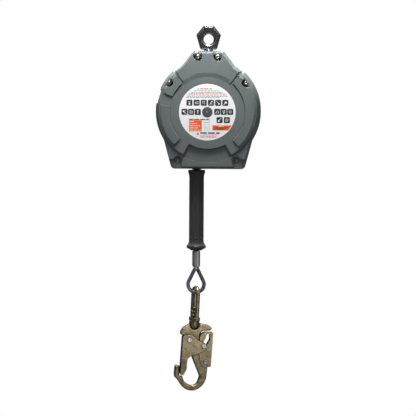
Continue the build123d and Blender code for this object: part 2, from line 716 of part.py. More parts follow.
WRAPS = 4
wrap_width = 2 * DRUM_HALF / WRAPS
with BuildPart() as rope_pack:
    with BuildSketch(radial_plane(1, 0)):
        with BuildLine():
            Polyline(
                (PACK_R - 1.2, DRUM_HALF),
                (DRUM_CORE_R, DRUM_HALF),
                (DRUM_CORE_R, -DRUM_HALF),
                (PACK_R - 1.2, -DRUM_HALF),
            )
            for n in range(WRAPS):
                low = -DRUM_HALF + n * wrap_width
                ThreePointArc((PACK_R - 1.2, low), (PACK_R, low + wrap_width / 2), (PACK_R - 1.2, low + wrap_width))
        make_face()
    revolve(axis=drum_axis(1))
rope_pack.part.label = "rope_pack"
export_step(rope_pack.part, "parts/rope_pack.step")

with BuildPart() as drum_bushings:
    for far, near in [(24.2, 8.0), (-24.2, -11.5)]:
        with BuildSketch(cover_plane(1, far)):
            Circle(DRUM_BUSH_R)
            Circle(SHAFT_R + 0.05, mode=Mode.SUBTRACT)
        extrude(amount=near - far)
drum_bushings.part.label = "drum_bushings"
export_step(drum_bushings.part, "parts/drum_bushings.step")

with BuildPart() as brake_linings:
    for face in (FLANGE_FACE, SECOND_LINING_FACE):
        with BuildSketch(cover_plane(1, face)):
            Circle(LINING_OUTER_R)
            Circle(LINING_INNER_R, mode=Mode.SUBTRACT)
        extrude(amount=LINING_T)
brake_linings.part.label = "brake_linings"
export_step(brake_linings.part, "parts/brake_linings.step")

with BuildPart() as pawl_carrier:
    with BuildSketch(cover_plane(1, CARRIER_FACE)):
        Circle(CARRIER_R)
        Circle(LINING_INNER_R - 0.2, mode=Mode.SUBTRACT)
        with PolarLocations(PAWL_PIVOT_R, 2, start_angle=PAWL_PIVOT_ANGLE):
            Circle(PAWL_PIN_R, mode=Mode.SUBTRACT)
        with PolarLocations(54.0, 2, start_angle=60):
            Circle(4.5, mode=Mode.SUBTRACT)
    extrude(amount=CARRIER_T)
pawl_carrier.part.label = "pawl_carrier"
export_step(pawl_carrier.part, "parts/pawl_carrier.step")

with BuildPart() as pressure_plate:
    with BuildSketch(cover_plane(1, PRESSURE_FACE)):
        Circle(LINING_OUTER_R)
        Circle(22.0, mode=Mode.SUBTRACT)
        with PolarLocations(BRAKE_BOLT_CIRCLE_R, 4, start_angle=45):
            Circle(BRAKE_BOLT_R, mode=Mode.SUBTRACT)
    extrude(amount=PRESSURE_T)
pressure_plate.part.label = "pressure_plate"
export_step(pressure_plate.part, "parts/pressure_plate.step")

with BuildPart() as brake_bolts:
    with BuildSketch(cover_plane(1, PRESSURE_FACE + PRESSURE_T)):
        with PolarLocations(BRAKE_BOLT_CIRCLE_R, 4, start_angle=45):
            Circle(4.2)
    extrude(amount=2.6)
    with BuildSketch(cover_plane(1, PRESSURE_FACE + PRESSURE_T)):
        with PolarLocations(BRAKE_BOLT_CIRCLE_R, 4, start_angle=45):
            Circle(BRAKE_BOLT_R)
    extrude(amount=-10.0)
    with BuildSketch(cover_plane(1, PRESSURE_FACE + PRESSURE_T + 2.6)):
        with PolarLocations(BRAKE_BOLT_CIRCLE_R, 4, start_angle=45):
            RegularPolygon(1.5, 6, major_radius=False)
    extrude(amount=-1.6, mode=Mode.SUBTRACT)
brake_bolts.part.label = "brake_bolts"
export_step(brake_bolts.part, "parts/brake_bolts.step")

# ---- centrifugal pawls and their ratchet ring -----------------------------------------------------
RATCHET_FROM = 17.5
tooth_pitch = 360.0 / RATCHET_TEETH
ratchet_points = []
for tooth in range(RATCHET_TEETH):
    face = RATCHET_FACE_ANGLE + tooth * tooth_pitch
    ratchet_points += [polar(RATCHET_ROOT_R, face), polar(RATCHET_TIP_R, face)]
with BuildPart() as ratchet_ring:
    with BuildSketch(cover_plane(1, RATCHET_FROM)) as ring_sketch:
        Circle(RATCHET_OUTER_R)
        with BuildLine():
            Polyline(*ratchet_points, close=True)
        make_face(mode=Mode.SUBTRACT)
        with PolarLocations(RIVET_CIRCLE_R, 6, start_angle=15):
            Circle(RATCHET_RIVET_R, mode=Mode.SUBTRACT)
    extrude(amount=PLATE_INNER - RATCHET_FROM)
ratchet_ring.part.label = "ratchet_ring"
export_step(ratchet_ring.part, "parts/ratchet_ring.step")

with BuildPart() as ratchet_rivets:
    with BuildSketch(cover_plane(1, RATCHET_FROM)):
        with PolarLocations(RIVET_CIRCLE_R, 6, start_angle=15):
            Circle(RATCHET_RIVET_R)
    extrude(amount=PLATE_OUTER - RATCHET_FROM)
    with BuildSketch(cover_plane(1, PLATE_OUTER)):
        with PolarLocations(RIVET_CIRCLE_R, 6, start_angle=15):
            Circle(2.6)
    extrude(amount=1.4)
ratchet_rivets.part.label = "ratchet_rivets"
export_step(ratchet_rivets.part, "parts/ratchet_rivets.step")

PAWL_LENGTH = 44.2
PAWL_LIE = 55.6  # direction from the pivot to the tip with the pawl drawn in
PAWL_LEVEL = SECOND_LINING_FACE + PAWL_GAP
pawls = {}
for name, turn in [("pawl_a", 0.0), ("pawl_b", 180.0)]:
    pivot = polar(PAWL_PIVOT_R, PAWL_PIVOT_ANGLE + turn)
    lie = radians(PAWL_LIE + turn)
    shape = [(0, -5.2), (20.0, -4.2), (PAWL_LENGTH, 0), (PAWL_LENGTH - 1.6, 7.0), (20.0, 6.0), (0, 5.2)]
    corners = [(pivot[0] + a * cos(lie) - b * sin(lie), pivot[1] + a * sin(lie) + b * cos(lie)) for a, b in shape]
    with BuildPart() as pawl:
        with BuildSketch(cover_plane(1, PAWL_LEVEL)):
            with BuildLine():
                Polyline(*corners, close=True)
            make_face()
            with Locations(pivot):
                Circle(5.4)
                Circle(PAWL_PIN_R + 0.05, mode=Mode.SUBTRACT)
        extrude(amount=PAWL_T)
    pawls[name] = pawl
for name, pawl in pawls.items():
    pawl.part.label = name
    export_step(pawl.part, f"parts/{name}.step")

with BuildPart() as pawl_pins:
    with BuildSketch(cover_plane(1, CARRIER_FACE)):
        with PolarLocations(PAWL_PIVOT_R, 2, start_angle=PAWL_PIVOT_ANGLE):
            Circle(PAWL_PIN_R)
    extrude(amount=CARRIER_T + 2 * PAWL_GAP + PAWL_T)
    with BuildSketch(cover_plane(1, PAWL_LEVEL + PAWL_T + PAWL_GAP)):
        with PolarLocations(PAWL_PIVOT_R, 2, start_angle=PAWL_PIVOT_ANGLE):
            Circle(4.6)
    extrude(amount=1.4)
pawl_pins.part.label = "pawl_pins"
export_step(pawl_pins.part, "parts/pawl_pins.step")

PAWL_SPRING_R = 2.0
PAWL_SPRING_WIRE_R = 0.45
PAWL_SPRING_LENGTH = 12.0
springs = []
for turn in (0.0, 180.0):
    middle = polar(50.0, 22.0 + turn)
    along = Vector(*polar(1.0, 112.0 + turn))
    lift = SECOND_LINING_FACE + PAWL_SPRING_R + PAWL_SPRING_WIRE_R + 0.1
    centre = Vector(middle[0], -lift, DRUM_Z + middle[1])
    direction = Vector(along.X, 0, along.Y)
    foot = centre - direction * (PAWL_SPRING_LENGTH / 2)
    springs.append(coil_spring(foot, direction, PAWL_SPRING_R, PAWL_SPRING_WIRE_R, 1.5, PAWL_SPRING_LENGTH))
with BuildPart() as pawl_springs:
    add(springs)
pawl_springs.part.label = "pawl_springs"
export_step(pawl_springs.part, "parts/pawl_springs.step")

# ---- retraction spring ----------------------------------------------------------------------------
CUP_FROM = 12.8
CUP_WALL = 1.2
with BuildPart() as spring_cup:
    cup_profile = [
        (ARBOR_R + 1.0, CUP_FROM),
        (CUP_R, CUP_FROM),
        (CUP_R, PLATE_INNER - CUP_WALL),
        (CUP_R + 7.0, PLATE_INNER - CUP_WALL),
        (CUP_R + 7.0, PLATE_INNER),
        (CUP_R - CUP_WALL, PLATE_INNER),
        (CUP_R - CUP_WALL, CUP_FROM + CUP_WALL),
        (ARBOR_R + 1.0, CUP_FROM + CUP_WALL),
    ]
    revolve(turned(-1, 0, cup_profile), drum_axis(-1))
    with BuildSketch(cover_plane(-1, PLATE_INNER)):
        with PolarLocations(CUP_SCREW_CIRCLE_R, 3, start_angle=30):
            Circle(CUP_SCREW_R)
    extrude(amount=-4.0, mode=Mode.SUBTRACT)
spring_cup.part.label = "spring_cup"
export_step(spring_cup.part, "parts/spring_cup.step")

with BuildPart() as cup_screws:
    with BuildSketch(cover_plane(-1, PLATE_INNER - CUP_WALL)):
        with PolarLocations(CUP_SCREW_CIRCLE_R, 3, start_angle=30):
            Circle(CUP_SCREW_R)
    extrude(amount=PLATE_OUTER - PLATE_INNER + CUP_WALL)
    with BuildSketch(cover_plane(-1, PLATE_OUTER)):
        with PolarLocations(CUP_SCREW_CIRCLE_R, 3, start_angle=30):
            Circle(3.5)
    extrude(amount=2.2)
cup_screws.part.label = "cup_screws"
export_step(cup_screws.part, "parts/cup_screws.step")

SPRING_STRIP = 0.7
SPRING_HALF_TURNS = 22
SPRING_FIRST_R = ARBOR_R + 1.2
SPRING_LAST_R = CUP_R - CUP_WALL - 1.0
with BuildPart() as power_spring:
    with BuildSketch(cover_plane(-1, CUP_FROM + CUP_WALL + 0.4)):
        with BuildLine():
            growth = (SPRING_LAST_R - SPRING_FIRST_R) / SPRING_HALF_TURNS
            shift = growth / 2
            for half in range(SPRING_HALF_TURNS):
                radius = SPRING_FIRST_R + growth * (half + 0.5)
                middle_x = shift if half % 2 else -shift
                CenterArc((middle_x, 0), radius, 180.0 * (half % 2), 180.0)
        trace(line_width=SPRING_STRIP)
    extrude(amount=9.0)
power_spring.part.label = "power_spring"
export_step(power_spring.part, "parts/power_spring.step")

# ---- rope end: run, ferrule, thimble and eye ------------------------------------------------------
RUN_TOP_Z = DRUM_Z + LEAD_END - RUN_GAP
GRIP_TOP_Z = -260.6
GRIP_BOTTOM_Z = -421.4
FERRULE_TOP_Z = -422.0
FERRULE_BOTTOM_Z = -455.0
FERRULE_HALF_X = 7.6
FERRULE_HALF_Y = 5.2
GROOVE_DEPTH = 2.8
THIMBLE_LIP = 6.4
LOOP_ROPE_R = LOOP_INNER_R + GROOVE_DEPTH + ROPE_D / 2


def line_plane(depth=0.0):
    """Plane facing the front through the rope's line, with local y at its true height."""
    return Plane(origin=(LINE_X, -depth, 0), x_dir=(1, 0, 0), z_dir=(0, -1, 0))


def teardrop(radius, outset=0.0):
    """A closed teardrop: a round bottom and two straight sides that meet at the top."""
    side = radians(LOOP_HALF_ANGLE)
    touch = (radius * cos(side), LOOP_Z + radius * sin(side))
    apex = (0, LOOP_Z + radius / sin(side))
    with BuildSketch(line_plane(0)) as sketch:
        with BuildLine():
            Polyline((-touch[0], touch[1]), apex, touch)
            ThreePointArc(touch, (0, LOOP_Z - radius), (-touch[0], touch[1]))
        make_face()
        if outset:
            offset(amount=outset, kind=Kind.ARC)
    return sketch.sketch


with BuildPart() as rope_run:
    with BuildSketch(Plane.XY.offset(FERRULE_TOP_Z)):
        with Locations((LINE_X, 0)):
            Circle(ROPE_D / 2)
    extrude(amount=RUN_TOP_Z - FERRULE_TOP_Z)
rope_run.part.label = "rope_run"
export_step(rope_run.part, "parts/rope_run.step")

side_turn = radians(LOOP_HALF_ANGLE)
rope_touch = (LOOP_ROPE_R * cos(side_turn), LOOP_Z + LOOP_ROPE_R * sin(side_turn))
rope_leg_top = FERRULE_BOTTOM_Z + 3.0
leg_x = (LOOP_ROPE_R - (rope_leg_top - LOOP_Z) * sin(side_turn)) / cos(side_turn)
with BuildPart() as rope_eye:
    with BuildLine(line_plane(0)) as eye_path:
        left_leg = Line((-leg_x, rope_leg_top), (-rope_touch[0], rope_touch[1]))
        bend = ThreePointArc(left_leg @ 1, (0, LOOP_Z - LOOP_ROPE_R), rope_touch)
        Line(bend @ 1, (leg_x, rope_leg_top))
    with BuildSketch(Plane(origin=eye_path.line @ 0, z_dir=eye_path.line % 0)):
        Circle(ROPE_D / 2)
    sweep(path=eye_path.line)
rope_eye.part.label = "rope_eye"
export_step(rope_eye.part, "parts/rope_eye.step")

with BuildPart() as ferrule:
    with BuildSketch(Plane(origin=(LINE_X, 0, FERRULE_BOTTOM_Z))):
        SlotOverall(2 * FERRULE_HALF_X, 2 * FERRULE_HALF_Y)
    extrude(amount=FERRULE_TOP_Z - FERRULE_BOTTOM_Z)
    chamfer(ferrule.faces().filter_by(Axis.Z).edges(), length=1.6, length2=1.6)
    with Locations((LINE_X, 0, (FERRULE_TOP_Z + FERRULE_BOTTOM_Z) / 2)):
        Box(2 * FERRULE_HALF_X + 0.8, 1.4, FERRULE_TOP_Z - FERRULE_BOTTOM_Z - 4.0)
    add(rope_eye.part, mode=Mode.SUBTRACT)
ferrule.part.label = "ferrule"
export_step(ferrule.part, "parts/ferrule.step")

LEG_LIP = 3.7  # the thimble's lips are this low beside its legs, so that the rope shows
LEG_START = 9.0  # from this far above the centre of the round end
THIMBLE_ROUND = 4.2  # round the inside of the thimble's bottom, where the bow rocks


def thimble_groove():
    """The ring of space that the rope lies in."""
    with BuildPart() as ring:
        extrude(teardrop(LOOP_INNER_R, THIMBLE_LIP + 4), amount=ROPE_D / 2 + 0.1, both=True)
        extrude(teardrop(LOOP_INNER_R, GROOVE_DEPTH), amount=ROPE_D / 2 + 0.1, both=True, mode=Mode.SUBTRACT)
    return ring.part


def leg_relief():
    """What the lips lose beside the thimble's legs."""
    with BuildPart() as relief:
        extrude(teardrop(LOOP_INNER_R, THIMBLE_LIP + 4), amount=THIMBLE_HALF + 1, both=True)
        extrude(teardrop(LOOP_INNER_R, LEG_LIP), amount=THIMBLE_HALF + 1, both=True, mode=Mode.SUBTRACT)
        with BuildSketch(line_plane(0)):
            with Locations((0, LOOP_Z + LEG_START)):
                Rectangle(80, 80, align=(Align.CENTER, Align.MAX))
        extrude(amount=THIMBLE_HALF + 1, both=True, mode=Mode.SUBTRACT)
    return relief.part


with BuildPart() as thimble:
    extrude(teardrop(LOOP_INNER_R, THIMBLE_LIP), amount=THIMBLE_HALF, both=True)
    extrude(teardrop(LOOP_INNER_R), amount=THIMBLE_HALF, both=True, mode=Mode.SUBTRACT)
    inner_arcs = round_edges(thimble, LOOP_INNER_R).filter_by(lambda e: e.center().Z < LOOP_Z)
    fillet(inner_arcs, THIMBLE_ROUND)
    add(thimble_groove(), mode=Mode.SUBTRACT)
    add(leg_relief(), mode=Mode.SUBTRACT)
thimble.part.label = "thimble"
export_step(thimble.part, "parts/thimble.step")

# ---- hand grip ------------------------------------------------------------------------------------
SLEEVE_R = 4.0
GRIP_R = 14.7
GRIP_LIP_R = 17.0
GRIP_SKIRT_R = 19.4
GRIP_FOOT_R = 11.3
GRIP_WAIST_TOP = GRIP_TOP_Z - 16.0
GRIP_WAIST_BOTTOM = GRIP_BOTTOM_Z + 28.0
GRIP_FLUTES = 10
FLUTE_R = 4.0
FLUTE_DEPTH = 0.9
with BuildPart() as grip:
    with BuildSketch(line_plane(0)):
        with BuildLine():
            Polyline(
                (SLEEVE_R, GRIP_BOTTOM_Z),
                (SLEEVE_R, GRIP_TOP_Z),
                (GRIP_LIP_R - 0.8, GRIP_TOP_Z),
                (GRIP_LIP_R, GRIP_TOP_Z - 0.8),
                (GRIP_LIP_R, GRIP_TOP_Z - 3.0),
            )
            Spline(
                (GRIP_LIP_R, GRIP_TOP_Z - 3.0), (15.5, GRIP_TOP_Z - 9.0), (GRIP_R, GRIP_WAIST_TOP),
                tangents=[(0, -1), (0, -1)],
            )
            Line((GRIP_R, GRIP_WAIST_TOP), (GRIP_R, GRIP_WAIST_BOTTOM))
            Spline(
                (GRIP_R, GRIP_WAIST_BOTTOM), (16.0, GRIP_BOTTOM_Z + 14.0), (GRIP_SKIRT_R, GRIP_BOTTOM_Z + 9.0),
                tangents=[(0, -1), (0.7, -0.7)],
            )
            Line((GRIP_SKIRT_R, GRIP_BOTTOM_Z + 9.0), (GRIP_SKIRT_R, GRIP_BOTTOM_Z + 5.8))
            Spline(
                (GRIP_SKIRT_R, GRIP_BOTTOM_Z + 5.8), (15.0, GRIP_BOTTOM_Z + 2.6), (GRIP_FOOT_R, GRIP_BOTTOM_Z),
                tangents=[(-0.4, -1), (-0.6, -1)],
            )
            Line((GRIP_FOOT_R, GRIP_BOTTOM_Z), (SLEEVE_R, GRIP_BOTTOM_Z))
        make_face()
    revolve(axis=Axis((LINE_X, 0, 0), (0, 0, 1)))
    # lengthwise finger flutes with round ends
    with Locations((LINE_X, 0, (GRIP_WAIST_TOP + GRIP_WAIST_BOTTOM) / 2)):
        with PolarLocations(GRIP_R + FLUTE_R - FLUTE_DEPTH, GRIP_FLUTES, start_angle=18):
            Cylinder(FLUTE_R, GRIP_WAIST_TOP - GRIP_WAIST_BOTTOM, mode=Mode.SUBTRACT)
    for level in (GRIP_WAIST_TOP, GRIP_WAIST_BOTTOM):
        with Locations((LINE_X, 0, level)):
            with PolarLocations(GRIP_R + FLUTE_R - FLUTE_DEPTH, GRIP_FLUTES, start_angle=18):
                Sphere(FLUTE_R, mode=Mode.SUBTRACT)
grip.part.label = "grip"
export_step(grip.part, "parts/grip.step")

with BuildPart() as grip_sleeve:
    with BuildSketch(Plane(origin=(LINE_X, 0, GRIP_BOTTOM_Z))):
        Circle(SLEEVE_R)
        Circle(ROPE_D / 2 + RUN_GAP, mode=Mode.SUBTRACT)
    extrude(amount=GRIP_TOP_Z - GRIP_BOTTOM_Z)
grip_sleeve.part.label = "grip_sleeve"
export_step(grip_sleeve.part, "parts/grip_sleeve.step")

# ---- swivel ---------------------------------------------------------------------------------------
BOW_GAP = 0.7  # air between the bow's crown and the thimble
SWIVEL_Z = LOOP_Z - LOOP_INNER_R + BOW_GAP + BOW_WIRE_R


def swivel_plane(turn, depth=0.0):
    """Plane that holds the swivel axis, turned about it; local y runs up the axis from the bow's crown."""
    spin = radians(turn)
    across = Vector(cos(spin), sin(spin), 0).rotate(Axis.Y, HOOK_TILT)
    facing = Vector(sin(spin), -cos(spin), 0).rotate(Axis.Y, HOOK_TILT)
    return Plane(origin=Vector(LINE_X, 0, SWIVEL_Z) + facing * depth, x_dir=across, z_dir=facing)


swivel_up = Vector(0, 0, 1).rotate(Axis.Y, HOOK_TILT)
swivel_axis = Axis((LINE_X, 0, SWIVEL_Z), swivel_up)
PIN_R = 4.5
PIN_TOP = -37.0  # heights along the swivel axis, from the bow's crown
NUT_TOP = -46.0
NUT_BOTTOM = -52.0
BASE_TOP = -59.5
BASE_BOTTOM = -65.5
BARREL_R = 10.5
BARREL_END = -84.4


def swivel_disc(level):
    """Plane across the swivel axis at this height, its x along the bow."""
    centre = Vector(LINE_X, 0, SWIVEL_Z) + swivel_up * level
    return Plane(origin=centre, x_dir=swivel_plane(BOW_TURN - 90).x_dir, z_dir=swivel_up)


with BuildPart() as swivel_bow:
    with BuildLine(swivel_plane(BOW_TURN - 90)) as bow_path:
        leg = Line((BOW_R, BASE_BOTTOM + 2.5), (BOW_R, -BOW_R))
        crown = ThreePointArc(leg @ 1, (0, 0), (-BOW_R, -BOW_R))
        Line(crown @ 1, (-BOW_R, BASE_BOTTOM + 2.5))
    with BuildSketch(Plane(origin=bow_path.line @ 0, z_dir=bow_path.line % 0)):
        Circle(BOW_WIRE_R)
    sweep(path=bow_path.line)
    with BuildSketch(swivel_disc(BASE_BOTTOM)):
        Ellipse(BOW_R + BOW_WIRE_R, 10.2)
    extrude(amount=BASE_TOP - BASE_BOTTOM)
    with BuildSketch(swivel_disc(BASE_BOTTOM)):
        Circle(PIN_R + 0.06)
    extrude(amount=20, mode=Mode.SUBTRACT)
swivel_bow.part.label = "swivel_bow"
export_step(swivel_bow.part, "parts/swivel_bow.step")

with BuildPart() as swivel_pin:
    with BuildSketch(swivel_plane(0)):
        with BuildLine():
            Polyline((0, BARREL_END), (0, PIN_TOP))
            ThreePointArc((0, PIN_TOP), (0.7 * PIN_R, PIN_TOP - 0.3 * PIN_R), (PIN_R, PIN_TOP - PIN_R))
            Polyline(
                (PIN_R, PIN_TOP - PIN_R),
                (PIN_R, BASE_BOTTOM - RUN_GAP),
                (9.7, BASE_BOTTOM - RUN_GAP),
                (BARREL_R, BASE_BOTTOM - RUN_GAP - 0.8),
                (BARREL_R, BARREL_END + BARREL_R),
            )
            ThreePointArc(
                (BARREL_R, BARREL_END + BARREL_R),
                (BARREL_R * cos(radians(45)), BARREL_END + BARREL_R - BARREL_R * sin(radians(45))),
                (0, BARREL_END),
            )
        make_face()
    revolve(axis=swivel_axis)
swivel_pin.part.label = "swivel_pin"
export_step(swivel_pin.part, "parts/swivel_pin.step")

with BuildPart() as swivel_nut:
    with BuildSketch(swivel_plane(0)):
        with BuildLine():
            Polyline(
                (PIN_R, NUT_TOP),
                (6.0, NUT_TOP),
                (6.8, NUT_TOP - 0.8),
                (6.8, NUT_BOTTOM + 0.6),
                (6.2, NUT_BOTTOM),
                (PIN_R, NUT_BOTTOM),
                close=True,
            )
        make_face()
    revolve(axis=swivel_axis)
swivel_nut.part.label = "swivel_nut"
export_step(swivel_nut.part, "parts/swivel_nut.step")

with BuildPart() as swivel_washer:
    with BuildSketch(swivel_plane(0)):
        with BuildLine():
            Polyline(
                (PIN_R, NUT_BOTTOM),
                (5.6, NUT_BOTTOM),
                (7.2, NUT_BOTTOM - 3.0),
                (7.2, BASE_TOP + 1.1),
                (6.4, BASE_TOP + RUN_GAP),
                (PIN_R, BASE_TOP + RUN_GAP),
                close=True,
            )
        make_face()
    revolve(axis=swivel_axis)
swivel_washer.part.label = "swivel_washer"
export_step(swivel_washer.part, "parts/swivel_washer.step")

# ---- snap hook ------------------------------------------------------------------------------------
HOOK_HALF = 6.5
LEVER_INNER, LEVER_OUTER = 6.9, 8.7
GATE_INNER, GATE_OUTER = 9.1, 11.1
GATE_PIVOT = (-9.5, -104.5)
LOCK_PIN = (20.3, -115.8)
LEVER_PIVOT = (25.7, -148.0)
RIVET_R = 3.0
LOCK_PIN_R = 2.5
RIVET_HEAD_R = 4.8
PIVOT_GAP = 0.06


def hook_plane(depth=0.0):
    return swivel_plane(HOOK_TURN, depth)


def rounded_outline(points, corners):
    """A polygon in the hook's plane; corners maps a point's number to its radius."""
    with BuildSketch(hook_plane()) as sketch:
        with BuildLine():
            Polyline(*points, close=True)
        make_face()
        for number, radius in corners.items():
            spot = Vector(*points[number])
            nearest = min(sketch.sketch_local.vertices(), key=lambda v: (Vector(v) - spot).length)
            fillet(nearest, radius)
    return sketch.sketch


HOOK_FACE_ROUND = 3.0
STOP_PINS = [(-19.6, -88.5), (1.4, -96.0)]
STOP_PIN_R = 2.0
hook_corners = [
    ((-28.0, -90.0), 5.0),
    ((-23.5, -80.5), 6.0),
    ((-10.0, -72.0), 8.0),
    ((10.3, -70.8), 8.0),
    ((29.5, -74.3), 6.0),
    ((36.3, -79.5), 3.2),
    ((33.5, -84.6), 3.2),
    ((15.5, -86.5), 5.0),
    ((12.3, -94.0), 6.0),
    ((13.0, -108.0), 12.0),
    ((16.0, -118.0), 6.0),
    ((24.5, -123.0), 6.0),
    ((31.0, -134.0), 12.0),
    ((33.4, -148.0), 12.0),
    ((30.4, -159.0), 12.0),
]
nose_corners = [
    ((-35.6, -158.0), 4.0),
    ((-31.6, -154.5), 3.2),
    ((-26.6, -157.5), 4.0),
    ((-25.4, -178.6), 3.0),
    ((-19.2, -178.0), 2.6),
]
back_corners = [
    ((-4.5, -134.5), 10.0),
    ((-19.4, -104.5), 8.0),
    ((-19.4, -97.3), 3.2),
    ((-27.5, -94.0), 3.2),
]
with BuildPart() as hook_body:
    with BuildSketch(hook_plane()) as outline:
        with BuildLine():
            heel = Line(hook_corners[-1][0], (30.0, -168.0))
            toe = Line((-36.2, -167.0), nose_corners[0][0])
            Spline(
                heel @ 1, (28.2, -184.0), (19.3, -199.0), (0.2, -207.2), (-19.5, -199.0), (-31.3, -184.0), toe @ 0,
                tangents=[heel % 1, toe % 0],
            )
            Polyline(*[spot for spot, rounding in nose_corners])
            lip = Line(nose_corners[-1][0], (-18.6, -181.0))
            shin = Line((12.4, -172.0), back_corners[0][0])
            Spline(
                lip @ 1, (-9.3, -193.2), (0.2, -196.4), (9.3, -192.2), (13.6, -182.0), shin @ 0,
                tangents=[lip % 1, shin % 0],
            )
            Polyline(*[spot for spot, rounding in back_corners + hook_corners])
        make_face()
        for spot, rounding in hook_corners + nose_corners + back_corners:
            corner = outline.vertices().sort_by_distance(spot)[0]
            fillet(corner, rounding)
    extrude(amount=HOOK_HALF, both=True)
    facing = hook_plane().z_dir
    faces = hook_body.faces().filter_by(lambda f: abs(f.normal_at(f.center()).dot(facing)) > 0.99)
    fillet(faces.edges(), HOOK_FACE_ROUND)
    with BuildSketch(hook_plane()):
        with Locations((0, BARREL_END + BARREL_R)):
            Circle(BARREL_R)
            Rectangle(2 * BARREL_R, 40.0, align=(Align.CENTER, Align.MIN))
    extrude(amount=HOOK_HALF, both=True, mode=Mode.SUBTRACT)
    with BuildSketch(hook_plane()):
        with Locations(GATE_PIVOT, LEVER_PIVOT):
            Circle(RIVET_R)
        with Locations(*STOP_PINS):
            Circle(STOP_PIN_R)
    extrude(amount=HOOK_HALF, both=True, mode=Mode.SUBTRACT)
    with BuildSketch(hook_plane(2.3)):
        with Locations(GATE_PIVOT, LEVER_PIVOT):
            Circle(6.2)
    extrude(amount=HOOK_HALF, mode=Mode.SUBTRACT)
hook_body.part.label = "hook_body"
export_step(hook_body.part, "parts/hook_body.step")

with BuildPart() as stop_pins:
    with BuildSketch(hook_plane()):
        with Locations(*STOP_PINS):
            Circle(STOP_PIN_R)
    extrude(amount=HOOK_HALF + 1.2, both=True)
stop_pins.part.label = "stop_pins"
export_step(stop_pins.part, "parts/stop_pins.step")

GATE_POINTS = [
    (-22.6, -98.5), (-20.0, -95.0), (-8.7, -94.2), (2.0, -99.6), (10.5, -107.0),
    (20.3, -108.2), (27.9, -115.8), (26.0, -121.0), (13.9, -129.3), (-2.9, -135.2),
    (-11.6, -142.0), (-12.6, -163.7), (-18.6, -175.6), (-22.4, -176.4), (-24.6, -171.0),
]
GATE_CORNERS = {1: 3.0, 2: 7.0, 4: 10.0, 5: 5.0, 6: 6.0, 7: 4.0, 9: 5.0, 10: 8.0, 11: 8.0, 12: 2.0}
GATE_HOLLOW = [
    (-40.0, -80.0), (-40.0, -100.0), (-20.5, -100.0), (-22.2, -171.0), (-14.0, -171.0), (40.0, -140.0), (40.0, -80.0)
]
with BuildPart() as gate:
    extrude(rounded_outline(GATE_POINTS, GATE_CORNERS), amount=GATE_OUTER, both=True)
    with BuildSketch(hook_plane()):
        with BuildLine():
            Polyline(*GATE_HOLLOW, close=True)
        make_face()
    extrude(amount=GATE_INNER, both=True, mode=Mode.SUBTRACT)
    with BuildSketch(hook_plane()):
        with Locations(GATE_PIVOT):
            Circle(RIVET_R + PIVOT_GAP)
        with Locations(LOCK_PIN):
            Circle(LOCK_PIN_R)
    extrude(amount=GATE_OUTER, both=True, mode=Mode.SUBTRACT)
gate.part.label = "gate"
export_step(gate.part, "parts/gate.step")

LEVER_POINTS = [
    (38.2, -88.3), (21.5, -88.3), (13.6, -93.0), (11.4, -100.0),
    (11.4, -131.2), (16.4, -152.5), (20.6, -158.8), (36.6, -157.6),
]
LEVER_CORNERS = {0: 1.5, 1: 6.0, 2: 4.0, 3: 4.0, 4: 3.0, 5: 4.0, 6: 4.5, 7: 2.0}
LEVER_HOLLOW = [(0.0, -70.0), (36.2, -70.0), (36.2, -88.0), (34.4, -170.0), (0.0, -170.0)]
SLOT_POINTS = [
    (16.9, -119.6), (23.6, -120.0), (32.7, -103.0), (31.9, -91.0), (25.6, -92.0), (23.3, -100.0), (17.4, -112.0)
]
SLOT_CORNERS = {0: 2.5, 1: 2.5, 2: 2.5, 3: 2.5, 4: 2.5}
with BuildPart() as lock_lever:
    extrude(rounded_outline(LEVER_POINTS, LEVER_CORNERS), amount=LEVER_OUTER, both=True)
    with BuildSketch(hook_plane()):
        with BuildLine():
            Polyline(*LEVER_HOLLOW, close=True)
        make_face()
    extrude(amount=LEVER_INNER, both=True, mode=Mode.SUBTRACT)
    extrude(rounded_outline(SLOT_POINTS, SLOT_CORNERS), amount=LEVER_OUTER, both=True, mode=Mode.SUBTRACT)
    with BuildSketch(hook_plane()):
        with Locations(LEVER_PIVOT):
            Circle(RIVET_R + PIVOT_GAP)
    extrude(amount=LEVER_OUTER, both=True, mode=Mode.SUBTRACT)
lock_lever.part.label = "lock_lever"
export_step(lock_lever.part, "parts/lock_lever.step")


def rivet(spot, radius, reach, head):
    """A tubular rivet across the hook: its shank, two heads and the hollow in each."""
    with BuildPart() as piece:
        with BuildSketch(hook_plane()):
            with Locations(spot):
                Circle(radius)
        extrude(amount=reach, both=True)
        for face in (1, -1):
            with BuildSketch(hook_plane(face * reach)):
                with Locations(spot):
                    Circle(RIVET_HEAD_R)
            extrude(amount=face * head, taper=18)
            with BuildSketch(hook_plane(face * (reach + head))):
                with Locations(spot):
                    Circle(1.9)
            extrude(amount=-face * 3.0, mode=Mode.SUBTRACT)
    return piece.part


with BuildPart() as hook_rivets:
    add(rivet(GATE_PIVOT, RIVET_R, GATE_OUTER + 0.1, 2.2))
    add(rivet(LEVER_PIVOT, RIVET_R, LEVER_OUTER + 0.1, 2.2))
hook_rivets.part.label = "hook_rivets"
export_step(hook_rivets.part, "parts/hook_rivets.step")

with BuildPart() as lock_pin:
    add(rivet(LOCK_PIN, LOCK_PIN_R, GATE_OUTER, 2.2))
lock_pin.part.label = "lock_pin"
export_step(lock_pin.part, "parts/lock_pin.step")

